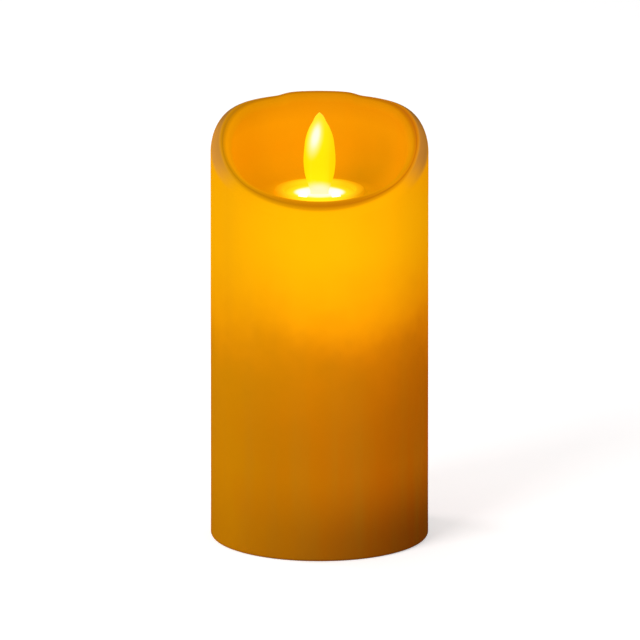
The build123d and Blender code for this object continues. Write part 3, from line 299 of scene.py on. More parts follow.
def wax_shell():
    """The whole shell as rings of rows, with how far each point belongs to the rim's outside and crest."""
    verts, outsides, crests = [], [], []
    for n in range(TURNS):
        angle = 2 * math.pi * n / TURNS
        rows = wall_section(angle)
        count = len(rows)
        for r, z, outside, crest in rows:
            verts.append((r * math.cos(angle) * MM, r * math.sin(angle) * MM, z * MM))
            outsides.append(float(outside))
            crests.append(float(crest))
    faces = []
    for n in range(TURNS):
        m = (n + 1) % TURNS
        for k in range(count):
            j = (k + 1) % count
            faces.append((n * count + k, m * count + k, m * count + j, n * count + j))
    ob = mesh_object("amber_wax_shell", verts, faces)
    for name, values in (("rim_outside", outsides), ("rim_crest", crests)):
        attribute = ob.data.attributes.new(name, "FLOAT", "POINT")
        attribute.data.foreach_set("value", values)
    marks = sharp_rows()
    flags = []
    for e in ob.data.edges:
        a, b = e.vertices
        flags.append(a % count == b % count and a % count in marks)
    sharpness = ob.data.attributes.new("sharp_edge", "BOOLEAN", "EDGE")
    sharpness.data.foreach_set("value", flags)
    return ob


# ------------------------------------------------------------------ geometry-node trees
class Tree:
    """A geometry-node tree with named inputs, built one node at a time."""

    def __init__(self, name):
        self.group = bpy.data.node_groups.new(name, "GeometryNodeTree")
        self.group.is_modifier = True
        self.ids = {}
        self.made = {}
        self.input = self.group.nodes.new("NodeGroupInput")
        self.output = self.group.nodes.new("NodeGroupOutput")
        self.socket("Geometry", "NodeSocketGeometry")
        self.group.interface.new_socket(name="Geometry", in_out="OUTPUT", socket_type="NodeSocketGeometry")

    def socket(self, name, kind, value=None):
        item = self.group.interface.new_socket(name=name, in_out="INPUT", socket_type=kind)
        if value is not None:
            item.default_value = value
        self.ids[name] = item.identifier
        return name

    def node(self, kind, inputs=None, **settings):
        return add_node(self.group, kind, inputs, settings)

    def given(self, name):
        return self.input.outputs[name]

    def math(self, operation, a, b=0.0):
        return self.node("ShaderNodeMath", {0: a, 1: b}, operation=operation).outputs[0]

    def close(self, geometry):
        whole = self.node("GeometryNodeRealizeInstances", {"Geometry": geometry})
        skin = self.node("GeometryNodeSetMaterial", {
            "Geometry": whole.outputs["Geometry"], "Material": self.given("Material"),
        })
        self.group.links.new(skin.outputs["Geometry"], self.output.inputs["Geometry"])

    def put_on(self, ob, **values):
        """Adds the tree to an object as a modifier, with its inputs set by their identifiers."""
        modifier = ob.modifiers.new(self.group.name, "NODES")
        modifier.node_group = self.group
        for name, value in values.items():
            modifier[self.ids[name.replace("_", " ")]] = value
        return settle(ob)


def cast_surface_tree():
    """Shallow swells of hand-cast wax: every point sinks a little along its normal, except near the foot."""
    tree = Tree("cast_surface")
    tree.socket("Sink depth", "NodeSocketFloat", 0.1 * MM)
    tree.socket("Swell size", "NodeSocketFloat", 18 * MM)
    tree.socket("Still foot", "NodeSocketFloat", 8 * MM)
    tree.socket("Seed", "NodeSocketFloat", 3.0)
    tree.socket("Material", "NodeSocketMaterial")
    place = tree.node("GeometryNodeInputPosition").outputs[0]
    normal = tree.node("GeometryNodeInputNormal").outputs[0]
    scale = tree.math("DIVIDE", 1.0, tree.given("Swell size"))
    swell = tree.node("ShaderNodeTexNoise", {
        "Vector": place, "W": tree.given("Seed"), "Scale": scale, "Detail": 2.0, "Roughness": 0.45,
    }, noise_dimensions="4D")
    height = tree.node("ShaderNodeSeparateXYZ", {0: place}).outputs["Z"]
    free = tree.node("ShaderNodeMapRange", {
        "Value": height, "From Min": 0.0, "From Max": tree.given("Still foot"),
    })
    depth = tree.math("MULTIPLY", swell.outputs["Fac"], tree.given("Sink depth"))
    depth = tree.math("MULTIPLY", depth, free.outputs["Result"])
    sunk = tree.math("MULTIPLY", depth, -1.0)
    offset = tree.node("ShaderNodeVectorMath", {0: normal, "Scale": sunk}, operation="SCALE").outputs[0]
    moved = tree.node("GeometryNodeSetPosition", {"Geometry": tree.given("Geometry"), "Offset": offset})
    tree.close(moved.outputs["Geometry"])
    return tree


def winding_tree():
    """Rings of copper wire side by side round a solid core of inner turns."""
    tree = Tree("copper_turns")
    tree.socket("Outer radius", "NodeSocketFloat", 9.6 * MM)
    tree.socket("Wire radius", "NodeSocketFloat", 0.2 * MM)
    tree.socket("Height", "NodeSocketFloat", 6.8 * MM)
    tree.socket("Foot", "NodeSocketVector", (0.0, 0.0, 0.0))
    tree.socket("Material", "NodeSocketMaterial")
    wire = tree.given("Wire radius")
    ring_r = tree.math("SUBTRACT", tree.given("Outer radius"), wire)
    pitch = tree.math("MULTIPLY", wire, 2.0)
    turns = tree.math("FLOOR", tree.math("DIVIDE", tree.given("Height"), pitch))
    circle = tree.node("GeometryNodeCurvePrimitiveCircle", {"Resolution": 64, "Radius": ring_r})
    section = tree.node("GeometryNodeCurvePrimitiveCircle", {"Resolution": 6, "Radius": wire})
    turn = tree.node("GeometryNodeCurveToMesh", {
        "Curve": circle.outputs["Curve"], "Profile Curve": section.outputs["Curve"],
    })
    lift = tree.node("ShaderNodeCombineXYZ", {"Z": pitch}).outputs[0]
    first = tree.node("ShaderNodeCombineXYZ", {"Z": wire}).outputs[0]
    start = tree.node("ShaderNodeVectorMath", {0: tree.given("Foot"), 1: first}, operation="ADD").outputs[0]
    column = tree.node("GeometryNodeMeshLine", {"Count": turns, "Start Location": start, "Offset": lift})
    rings = tree.node("GeometryNodeInstanceOnPoints", {
        "Points": column.outputs["Mesh"], "Instance": turn.outputs["Mesh"],
    })
    both = tree.node("GeometryNodeJoinGeometry")
    tree.group.links.new(rings.outputs["Instances"], both.inputs[0])
    tree.group.links.new(tree.given("Geometry"), both.inputs[0])
    tree.close(both.outputs[0])
    return tree


def bead_tree():
    """A domed bead of solder on every point of a mesh."""
    tree = Tree("solder_beads")
    tree.socket("Bead radius", "NodeSocketFloat", 0.8 * MM)
    tree.socket("Flatness", "NodeSocketVector", (1.0, 0.7, 1.0))
    tree.socket("Material", "NodeSocketMaterial")
    bead = tree.node("GeometryNodeMeshUVSphere", {
        "Segments": 12, "Rings": 8, "Radius": tree.given("Bead radius"),
    })
    placed = tree.node("GeometryNodeInstanceOnPoints", {
        "Points": tree.given("Geometry"), "Instance": bead.outputs["Mesh"], "Scale": tree.given("Flatness"),
    })
    tree.close(placed.outputs["Instances"])
    return tree


# ------------------------------------------------------------------ shader groups
class Group:
    """A shader node group that puts out only values, colours and heights."""

    def __init__(self, name, inputs, outputs):
        self.tree = bpy.data.node_groups.new(name, "ShaderNodeTree")
        for label, kind, value in inputs:
            item = self.tree.interface.new_socket(name=label, in_out="INPUT", socket_type=kind)
            if value is not None:
                item.default_value = value
        for label, kind in outputs:
            self.tree.interface.new_socket(name=label, in_out="OUTPUT", socket_type=kind)
        self.input = self.tree.nodes.new("NodeGroupInput")
        self.output = self.tree.nodes.new("NodeGroupOutput")

    def node(self, kind, inputs=None, **settings):
        return add_node(self.tree, kind, inputs, settings)

    def math(self, operation, a, b=0.0, clamp=False):
        return self.node("ShaderNodeMath", {0: a, 1: b}, operation=operation, use_clamp=clamp).outputs[0]

    def put(self, label, socket):
        self.tree.links.new(socket, self.output.inputs[label])


def moulded_grain():
    """Tone, gloss change and relief of a moulded surface: fine spark grain over slow cloudy patches."""
    g = Group("moulded_grain", [
        ("Point", "NodeSocketVector", None), ("Grain per metre", "NodeSocketFloat", 2500.0),
        ("Patches per metre", "NodeSocketFloat", 60.0),
    ], [("Tone", "NodeSocketFloat"), ("Gloss", "NodeSocketFloat"), ("Relief", "NodeSocketFloat")])
    point = g.input.outputs["Point"]
    fine = g.node("ShaderNodeTexNoise", {
        "Vector": point, "Scale": g.input.outputs["Grain per metre"], "Detail": 2.0, "Roughness": 0.6,
    })
    slow = g.node("ShaderNodeTexNoise", {
        "Vector": point, "Scale": g.input.outputs["Patches per metre"], "Detail": 4.0, "Roughness": 0.55,
    })
    g.put("Tone", slow.outputs["Fac"])
    g.put("Gloss", g.math("MULTIPLY_ADD", slow.outputs["Fac"], 0.5))
    g.put("Relief", fine.outputs["Fac"])
    return g.tree


def settled_dust():
    """How much dust or smudge lies on a point: patchy, and more on what faces up."""
    g = Group("settled_dust", [
        ("Point", "NodeSocketVector", None), ("Amount", "NodeSocketFloat", 0.2),
        ("Patches per metre", "NodeSocketFloat", 140.0),
    ], [("Mask", "NodeSocketFloat")])
    noise = g.node("ShaderNodeTexNoise", {
        "Vector": g.input.outputs["Point"], "Scale": g.input.outputs["Patches per metre"], "Detail": 5.0,
        "Roughness": 0.65,
    })
    patch = g.node("ShaderNodeMapRange", {"Value": noise.outputs["Fac"], "From Min": 0.45, "From Max": 0.75})
    normal = g.node("ShaderNodeNewGeometry").outputs["Normal"]
    up = g.node("ShaderNodeSeparateXYZ", {0: normal}).outputs["Z"]
    facing = g.node("ShaderNodeMapRange", {"Value": up, "From Min": -0.4, "From Max": 1.0, "To Min": 0.35})
    mask = g.math("MULTIPLY", patch.outputs["Result"], facing.outputs["Result"])
    g.put("Mask", g.math("MULTIPLY", mask, g.input.outputs["Amount"], clamp=True))
    return g.tree


def light_pool():
    """A soft leaning ellipsoid of light: 1 at its centre, 0 at its edge.  Lengths are millimetres."""
    g = Group("light_pool", [
        ("Point", "NodeSocketVector", None), ("Centre", "NodeSocketVector", (0.0, 0.0, 0.0)),
        ("Half size", "NodeSocketVector", (1.0, 1.0, 1.0)), ("Lean", "NodeSocketFloat", 0.0),
        ("Core", "NodeSocketFloat", 0.3),
    ], [("Mask", "NodeSocketFloat")])
    off = g.node("ShaderNodeVectorMath", {
        0: g.input.outputs["Point"], 1: g.input.outputs["Centre"],
    }, operation="SUBTRACT").outputs[0]
    parts = g.node("ShaderNodeSeparateXYZ", {0: off})
    shift = g.math("MULTIPLY", parts.outputs["Z"], g.input.outputs["Lean"])
    straight = g.node("ShaderNodeCombineXYZ", {
        "X": g.math("SUBTRACT", parts.outputs["X"], shift), "Y": parts.outputs["Y"], "Z": parts.outputs["Z"],
    }).outputs[0]
    scaled = g.node("ShaderNodeVectorMath", {
        0: straight, 1: g.input.outputs["Half size"],
    }, operation="DIVIDE")
    length = g.node("ShaderNodeVectorMath", {0: scaled.outputs[0]}, operation="LENGTH").outputs["Value"]
    mask = g.node("ShaderNodeMapRange", {
        "Value": length, "From Min": g.input.outputs["Core"], "From Max": 1.0, "To Min": 1.0, "To Max": 0.0,
    }, interpolation_type="SMOOTHERSTEP")
    g.put("Mask", mask.outputs["Result"])
    return g.tree


GRAIN = moulded_grain()
DUST = settled_dust()
POOL = light_pool()


# ------------------------------------------------------------------ materials
class Finish:
    """One material: a Principled shader and the nodes that feed it."""

    def __init__(self, name, rough=0.5, metal=0.0, **plain_values):
        self.material = bpy.data.materials.new(name)
        self.material.use_nodes = True
        self.tree = self.material.node_tree
        self.tree.nodes.clear()
        self.shader = self.tree.nodes.new("ShaderNodeBsdfPrincipled")
        out = self.tree.nodes.new("ShaderNodeOutputMaterial")
        self.tree.links.new(self.shader.outputs[0], out.inputs["Surface"])
        self.shader.inputs["Roughness"].default_value = rough
        self.shader.inputs["Metallic"].default_value = metal
        for key, value in plain_values.items():
            self.shader.inputs[key.replace("_", " ")].default_value = value
        self.point = self.node("ShaderNodeTexCoord").outputs["Object"]

    def node(self, kind, inputs=None, **settings):
        return add_node(self.tree, kind, inputs, settings)

    def group(self, tree, inputs):
        return add_node(self.tree, "ShaderNodeGroup", inputs, {"node_tree": tree})

    def math(self, operation, a, b=0.0, clamp=False):
        return self.node("ShaderNodeMath", {0: a, 1: b}, operation=operation, use_clamp=clamp).outputs[0]

    def range(self, value, low, high, to_low=0.0, to_high=1.0, smooth=False):
        kind = "SMOOTHSTEP" if smooth else "LINEAR"
        return self.node("ShaderNodeMapRange", {
            "Value": value, "From Min": low, "From Max": high, "To Min": to_low, "To Max": to_high,
        }, interpolation_type=kind).outputs["Result"]

    def noise(self, scale, detail=3.0, roughness=0.55, vector=None):
        return self.node("ShaderNodeTexNoise", {
            "Vector": vector or self.point, "Scale": scale, "Detail": detail, "Roughness": roughness,
        }).outputs["Fac"]

    def blend(self, share, a, b, kind="MIX"):
        made = self.node("ShaderNodeMix", data_type="RGBA", blend_type=kind)
        for index, value in ((0, share), (6, a), (7, b)):
            if isinstance(value, bpy.types.NodeSocket):
                self.tree.links.new(value, made.inputs[index])
            else:
                made.inputs[index].default_value = value if index == 0 else (*value, 1.0)
        return made.outputs[2]

    def ramp(self, value, stops, kind="EASE"):
        made = self.node("ShaderNodeValToRGB", {"Fac": value})
        made.color_ramp.interpolation = kind
        while len(made.color_ramp.elements) < len(stops):
            made.color_ramp.elements.new(0.5)
        for element, (place, colour) in zip(made.color_ramp.elements, stops):
            element.position = place
        for element, (place, colour) in zip(made.color_ramp.elements, stops):
            element.color = (*colour, 1.0)
        return made.outputs["Color"]

    def bump(self, height, depth, strength=1.0):
        made = self.node("ShaderNodeBump", {"Height": height, "Distance": depth, "Strength": strength})
        self.tree.links.new(made.outputs["Normal"], self.shader.inputs["Normal"])

    def feed(self, **sockets):
        for key, socket in sockets.items():
            self.tree.links.new(socket, self.shader.inputs[key.replace("_", " ")])


DUST_COLOUR = (0.55, 0.50, 0.43)


def shade_of(colour, factor):
    return tuple(min(1.0, c * factor) for c in colour)


def moulded(name, colour, rough=0.45, grain=2500.0, depth=0.00004, dust=0.25, spread=0.12, **more):
    """Moulded plastic: cloudy tone, fine grain, and a little dust in patches."""
    f = Finish(name, rough, **more)
    g = f.group(GRAIN, {"Point": f.point, "Grain per metre": grain})
    tone = f.blend(g.outputs["Tone"], shade_of(colour, 1 - spread), shade_of(colour, 1 + spread))
    d = f.group(DUST, {"Point": f.point, "Amount": dust})
    f.feed(Base_Color=f.blend(d.outputs["Mask"], tone, DUST_COLOUR))
    f.feed(Roughness=f.range(g.outputs["Gloss"], 0.5, 1.0, rough - 0.08, rough + 0.14))
    f.bump(g.outputs["Relief"], depth)
    return f.material


def metal(name, colour, rough=0.3, along=(1.0, 1.0, 14.0), **more):
    """Bright metal with drawn or brushed lines, and dull patches."""
    f = Finish(name, rough, 1.0, **more)
    lines = f.node("ShaderNodeMapping", {"Vector": f.point, "Scale": along}).outputs[0]
    brushed = f.noise(900.0, 3.0, 0.6, lines)
    g = f.group(GRAIN, {"Point": f.point, "Patches per metre": 220.0})
    f.feed(Base_Color=f.blend(g.outputs["Tone"], shade_of(colour, 0.78), shade_of(colour, 1.1)))
    f.feed(Roughness=f.range(brushed, 0.3, 0.7, rough - 0.1, rough + 0.15))
    f.bump(brushed, 0.00003, 0.6)
    return f.material


def insulation(name, colour):
    """Soft wire insulation: slightly greasy, with faint drag marks."""
    f = Finish(name, 0.38)
    drag = f.noise(1600.0, 2.0)
    slow = f.noise(120.0, 4.0)
    f.feed(Base_Color=f.blend(slow, shade_of(colour, 0.8), shade_of(colour, 1.2)))
    f.feed(Roughness=f.range(slow, 0.3, 0.7, 0.28, 0.5))
    f.bump(drag, 0.00003, 0.5)
    return f.material


def millimetres(f):
    return f.node("ShaderNodeVectorMath", {0: f.point, "Scale": 1000.0}, operation="SCALE").outputs[0]


def pool(f, at, centre, half, lean=0.0, core=0.3):
    return f.group(POOL, {
        "Point": at, "Centre": centre, "Half size": half, "Lean": lean, "Core": core,
    }).outputs["Mask"]


# ------------------------------------------------------------------ the wax's colours with painted shade and sheen, and its glow
# Painted side light: the amber is lighter and yellower on the left, darker and redder on the right.
AMBER_LIT_LEFT = (0.475, 0.180, 0.001)
AMBER_SHADED_RIGHT = (0.510, 0.116, 0.001)
STREAK_AMBER = (0.43, 0.17, 0.006)
# Painted shade at the foot of the wall.
FOOT_SHADE_BROWN = (0.05, 0.012, 0.002)
# Painted sheen on the rim's outer rounding.
RIM_PAINTED_SHEEN = (0.47, 0.215, 0.045)
# Painted shade on the back of the rim's outer rounding.
RIM_BACK_SHADE = (0.16, 0.075, 0.018)
RIM_UNLIT = (0.03, 0.01, 0.0)
BOWL_GLOW_LEFT = (0.53, 0.185, 0.0)
BOWL_GLOW_RIGHT = (0.26, 0.178, 0.0)
SPILL_AMBER = (0.80, 0.40, 0.0)
SPILL_YELLOW = (0.92, 0.74, 0.01)
SPILL_WHITE = (1.0, 0.95, 0.70)
SIDE_SPAN = (-34.0, 36.0)
GLOW_MIDDLE_X = 6.0
GLOW_HALF_W = 37.5
GLOW_AT_SIDES = 0.53
GLOW_HEIGHT = 150.0
# The wall's glow from the foot to the rim, by share of GLOW_HEIGHT.
WALL_GLOW = [
    (0.22, (0.0, 0.0, 0.0)), (0.32, (0.022, 0.010, 0.0)), (0.41, (0.075, 0.035, 0.0)),
    (0.485, (0.22, 0.075, 0.0)), (0.56, (0.50, 0.20, 0.0)), (0.66, (0.62, 0.325, 0.0)),
    (0.76, (0.66, 0.385, 0.0)), (0.90, (0.62, 0.30, 0.0)),
]


def grey(f, value):
    return f.node("ShaderNodeCombineColor", {0: value, 1: value, 2: value}).outputs[0]


def bowl_light(f, side):
    """The bowl's own glow, redder on the left and duller on the right."""
    return f.blend(side, BOWL_GLOW_LEFT, BOWL_GLOW_RIGHT)


def foot_glow(f, at, rest):
    """Light spilt round the flame's foot: white, then yellow, then the colour of what it falls on."""
    light = f.blend(pool(f, at, FOOT_LIGHT, (21.0, 27.0, 13.0), core=0.25), rest, SPILL_AMBER)
    light = f.blend(pool(f, at, FRONT_LIGHT, (16.5, 25.0, 8.0), core=0.4), light, SPILL_YELLOW)
    return f.blend(pool(f, at, FOOT_LIGHT, (9.5, 9.5, 6.0), core=0.6), light, SPILL_WHITE)


def wax_tint(f, x, y, z, side, outside, turned):
    """The wax's colour, streaked low down, with painted light in it: lighter and yellower on the left, a
    painted brown shade at the foot, a painted pale sheen on the rim's outside and a painted shade on its
    back.
    """
    stretched = f.node("ShaderNodeMapping", {"Vector": f.point, "Scale": (150.0, 150.0, 14.0)}).outputs[0]
    streaks = f.noise(1.0, 3.0, 0.5, stretched)
    lower = f.range(z, 70.0, 20.0, smooth=True)
    streak = f.math("MULTIPLY", f.range(streaks, 0.42, 0.68), f.range(lower, 0.0, 1.0, 0.10, 0.42))
    # Painted shade at the foot, deeper towards the right.
    foot = f.math("MULTIPLY", f.range(z, 32.0, 3.0, smooth=True), f.range(x, -30.0, 32.0, 0.15, 0.62))
    # Painted shade on the back of the rim's outer rounding.
    back_rim_shade = f.math("MULTIPLY", outside, f.range(y, 4.0, 16.0, smooth=True))
    # Painted side light: lighter on the left, darker and redder on the right.
    tint = f.blend(side, AMBER_LIT_LEFT, AMBER_SHADED_RIGHT)
    tint = f.blend(streak, tint, STREAK_AMBER)
    tint = f.blend(foot, tint, FOOT_SHADE_BROWN)
    # Painted sheen on the rim's outer rounding, from the sides round the back.
    tint = f.blend(f.math("MULTIPLY", turned, 0.7), tint, RIM_PAINTED_SHEEN)
    return f.blend(f.math("MULTIPLY", back_rim_shade, 0.5), tint, RIM_BACK_SHADE)


def wall_glow(f, x, z, cloud):
    """The glow of the outer wall, by height, and weaker towards the two sides."""
    level = f.math("DIVIDE", f.math("ADD", z, f.range(cloud, 0.3, 0.7, -5.0, 5.0)), GLOW_HEIGHT)
    off = f.math("DIVIDE", f.math("SUBTRACT", x, GLOW_MIDDLE_X), GLOW_HALF_W)
    limb = f.range(f.math("MULTIPLY", off, off), 0.0, 1.0, 1.0, GLOW_AT_SIDES)
    return f.blend(1.0, f.ramp(level, WALL_GLOW, "B_SPLINE"), grey(f, limb), "MULTIPLY")


def wax_glow(f, at, x, y, z, cloud, side, turned):
    """Light that comes out of the wax: the wall's, the bowl's inside it, and next to none on the crest."""
    across = f.node("ShaderNodeCombineXYZ", {"X": x, "Y": y}).outputs[0]
    radius = f.node("ShaderNodeVectorMath", {0: across}, operation="LENGTH").outputs["Value"]
    in_bowl = f.math("MULTIPLY", f.range(radius, 33.4, 32.6), f.range(z, BOWL_Z - 2.5, BOWL_Z - 0.5))
    light = f.blend(in_bowl, wall_glow(f, x, z, cloud), foot_glow(f, at, bowl_light(f, side)))
    top = f.range(f.math("ADD", f.math("MULTIPLY", y, -0.05), z), 138.0, 148.0, 1.0, 0.62)
    light = f.blend(1.0, light, grey(f, top), "MULTIPLY")
    crest = f.node("ShaderNodeAttribute", attribute_name="rim_crest").outputs["Fac"]
    unlit = f.math("MAXIMUM", f.math("MULTIPLY", crest, 0.88), f.math("MULTIPLY", turned, 0.85))
    return f.blend(unlit, light, RIM_UNLIT)


def wax_finish():
    """Amber wax lit from inside: it glows down the wall and in the bowl, and is dull in the thick rim."""
    f = Finish("amber_wax", 0.5, Specular_IOR_Level=0.0, Emission_Strength=1.0)
    at = millimetres(f)
    place = f.node("ShaderNodeSeparateXYZ", {0: at})
    x, y, z = (place.outputs[k] for k in "XYZ")
    cloud = f.noise(38.0, 3.0)
    side = f.range(f.math("ADD", x, f.range(cloud, 0.3, 0.7, -7.0, 7.0)), *SIDE_SPAN)
    outside = f.node("ShaderNodeAttribute", attribute_name="rim_outside").outputs["Fac"]
    turned = f.math("MULTIPLY", outside, f.range(y, -24.0, -6.0, smooth=True))
    f.feed(Base_Color=wax_tint(f, x, y, z, side, outside, turned))
    f.feed(Emission_Color=wax_glow(f, at, x, y, z, cloud, side, turned))
    f.feed(Roughness=f.range(cloud, 0.3, 0.7, 0.36, 0.52))
    speck = f.noise(2600.0, 2.0, 0.6)
    relief = f.math("ADD", f.math("MULTIPLY", speck, 0.35), f.noise(420.0, 3.0))
    f.bump(relief, 0.00006, 0.5)
    return f.material


def collar_finish():
    """Translucent plastic flooded by the LEDs: white at the two windows, yellow round them."""
    f = Finish("collar_ivory", 0.5, Specular_IOR_Level=0.02, Emission_Strength=1.0)
    at = millimetres(f)
    g = f.group(GRAIN, {"Point": f.point})
    side = f.range(f.node("ShaderNodeSeparateXYZ", {0: at}).outputs["X"], *SIDE_SPAN)
    # Painted side light, as on the wax: lighter on the left, darker and redder on the right.
    amber = f.blend(side, AMBER_LIT_LEFT, AMBER_SHADED_RIGHT)
    f.feed(Base_Color=f.blend(f.math("MULTIPLY", g.outputs["Tone"], 0.2), amber, (0.55, 0.25, 0.02)))
    light = foot_glow(f, at, bowl_light(f, side))
    for way in (-1, 1):
        spot = pool(f, at, (way * LED_X, 0.5, 122.0), (4.4, 6.5, 5.0), core=0.4)
        light = f.blend(spot, light, (1.0, 1.0, 0.95))
    f.feed(Emission_Color=light)
    f.feed(Roughness=f.range(g.outputs["Gloss"], 0.5, 1.0, 0.32, 0.5))
    f.bump(g.outputs["Relief"], 0.00003, 0.5)
    return f.material


# The film's glow from the magnet cup to the tip, by share of the flame's height.
FLAME_GLOW = [
    (0.0, (0.40, 0.16, 0.0)), (0.24, (0.80, 0.56, 0.0)), (0.34, (0.92, 0.86, 0.10)),
    (0.42, (0.92, 0.80, 0.002)), (0.55, (0.92, 0.75, 0.001)), (0.80, (0.92, 0.78, 0.002)),
    (1.0, (0.88, 0.74, 0.02)),
]


def flame_finish():
    """Thin translucent film, glowing bright yellow, with a long leaning painted white highlight and a white
    foot of painted LED light.
    """
    f = Finish("flame_film", 0.45, Specular_IOR_Level=0.02, Emission_Strength=1.0)
    at = millimetres(f)
    cloud = f.noise(260.0, 2.0)
    f.feed(Base_Color=f.blend(cloud, (0.10, 0.07, 0.001), (0.13, 0.10, 0.002)))
    place = f.node("ShaderNodeSeparateXYZ", {0: at})
    x, z = place.outputs["X"], place.outputs["Z"]
    level = f.range(f.math("ADD", z, f.range(cloud, 0.3, 0.7, -0.8, 0.8)), 108.0, 150.0)
    light = f.ramp(level, FLAME_GLOW)
    rightward = f.range(x, 1.0, 5.5, smooth=True)
    light = f.blend(f.math("MULTIPLY", rightward, 0.8), light, (0.90, 0.60, 0.001))
    leftward = f.range(x, -3.2, -5.4, smooth=True)
    light = f.blend(f.math("MULTIPLY", leftward, 0.8), light, (0.90, 0.68, 0.001))
    # Painted highlight: a long leaning white spot where the LED's light is reflected, in a pale halo.
    highlight_halo = pool(f, at, (-1.5, 0.0, 140.4), (3.4, 12.0, 8.6), 0.17, 0.15)
    light = f.blend(highlight_halo, light, (0.93, 0.88, 0.34))
    painted_highlight = pool(f, at, (-1.3, 0.0, 141.4), (2.1, 12.0, 5.9), 0.20, 0.15)
    light = f.blend(painted_highlight, light, (0.96, 0.92, 0.78))
    # Painted light of the LEDs, white on the flame's foot.
    foot = pool(f, at, (0.0, 0.0, 121.5), (8.0, 12.0, 4.6), core=0.2)
    light = f.blend(foot, light, (0.9, 0.88, 0.55))
    f.feed(Emission_Color=light)
    f.bump(f.noise(1200.0, 2.0), 0.00003, 0.4)
    return f.material


def led_finish():
    """Clear domed lens over a bright die, warmer down its body."""
    f = Finish("led_lens", 0.12, Coat_Weight=0.5, Emission_Strength=1.1)
    z = f.node("ShaderNodeSeparateXYZ", {0: millimetres(f)}).outputs["Z"]
    level = f.range(z, LED_Z - LED_H, LED_Z)
    haze = f.noise(500.0, 2.0)
    f.feed(Base_Color=f.blend(haze, (0.80, 0.76, 0.55), (0.92, 0.90, 0.74)))
    f.feed(Emission_Color=f.ramp(level, [
        (0.0, (0.75, 0.55, 0.12)), (0.5, (1.0, 0.9, 0.5)), (0.8, (1.0, 1.0, 0.92)),
    ]))
    f.bump(haze, 0.00002, 0.3)
    return f.material


def board_finish():
    """Green solder mask over copper tracks that show as a lighter maze."""
    f = Finish("board_green", 0.3, Coat_Weight=0.3)
    upright = f.node("ShaderNodeMapping", {"Vector": f.point, "Rotation": (math.pi / 2, 0.0, 0.0)}).outputs[0]
    maze = f.node("ShaderNodeTexBrick", {
        "Vector": upright, "Scale": 210.0, "Mortar Size": 0.03, "Brick Width": 1.6, "Row Height": 0.5,
        "Color1": (0, 0, 0, 1), "Color2": (0, 0, 0, 1), "Mortar": (1, 1, 1, 1),
    })
    cloud = f.noise(130.0, 4.0)
    green = f.blend(cloud, (0.010, 0.090, 0.030), (0.018, 0.140, 0.050))
    f.feed(Base_Color=f.blend(f.math("MULTIPLY", maze.outputs["Color"], 0.8), green, (0.045, 0.24, 0.09)))
    f.feed(Roughness=f.range(cloud, 0.3, 0.7, 0.24, 0.4))
    f.bump(maze.outputs["Fac"], 0.00005, 0.5)
    return f.material


def cell_finish(way, middle_y):
    """Battery sleeve in two colours with a thin ring between, and bare steel ends; way points to the nub."""
    f = Finish(f"cell_jacket_{'rear' if way > 0 else 'front'}", 0.28)
    y = f.node("ShaderNodeSeparateXYZ", {0: millimetres(f)}).outputs["Y"]
    along = f.math("MULTIPLY", f.math("SUBTRACT", y, middle_y), float(way))
    cloud = f.noise(150.0, 4.0)
    level = f.range(along, -22.25, 22.25)
    jacket = f.ramp(level, [
        (0.0, (0.62, 0.61, 0.58)), (0.022, (0.015, 0.02, 0.035)), (0.66, (0.03, 0.04, 0.07)),
        (0.665, (0.75, 0.74, 0.70)), (0.68, (0.56, 0.24, 0.05)), (0.955, (0.60, 0.27, 0.06)),
        (0.962, (0.66, 0.65, 0.62)), (1.0, (0.70, 0.69, 0.66)),
    ], "CONSTANT")
    worn = f.math("MULTIPLY", f.range(cloud, 0.45, 0.75), 0.25)
    f.feed(Base_Color=f.blend(worn, jacket, (0.30, 0.29, 0.28)))
    ends = f.math("ADD", f.range(level, 0.022, 0.021), f.range(level, 0.962, 0.963))
    f.feed(Metallic=ends)
    f.feed(Roughness=f.range(cloud, 0.3, 0.7, 0.2, 0.42))
    f.bump(f.noise(1400.0, 2.0), 0.00002, 0.4)
    return f.material


SLEEVE_END_Y = (6.55, 6.45)
SLEEVE_STRIPE_X = (-6.9, -6.8)


def capacitor_finish():
    """Dark shrink sleeve with a pale stripe and a bare aluminium end."""
    f = Finish("capacitor_sleeve", 0.32)
    place = f.node("ShaderNodeSeparateXYZ", {0: millimetres(f)})
    cloud = f.noise(300.0, 3.0)
    end = f.range(place.outputs["Y"], *SLEEVE_END_Y)
    stripe = f.range(place.outputs["X"], *SLEEVE_STRIPE_X)
    sleeve = f.blend(cloud, (0.012, 0.014, 0.05), (0.02, 0.025, 0.075))
    sleeve = f.blend(stripe, sleeve, (0.45, 0.45, 0.44))
    f.feed(Base_Color=f.blend(end, sleeve, (0.72, 0.72, 0.73)))
    f.feed(Metallic=end)
    f.bump(cloud, 0.00003, 0.4)
    return f.material


def copper_finish():
    """Enamelled copper wire, darker and brighter in patches."""
    f = Finish("winding_copper", 0.22, 1.0, Coat_Weight=0.6)
    cloud = f.noise(240.0, 3.0)
    f.feed(Base_Color=f.blend(cloud, (0.56, 0.17, 0.05), (0.74, 0.29, 0.10)))
    f.feed(Roughness=f.range(cloud, 0.3, 0.7, 0.18, 0.34))
    f.bump(f.noise(1500.0, 2.0), 0.00002, 0.4)
    return f.material


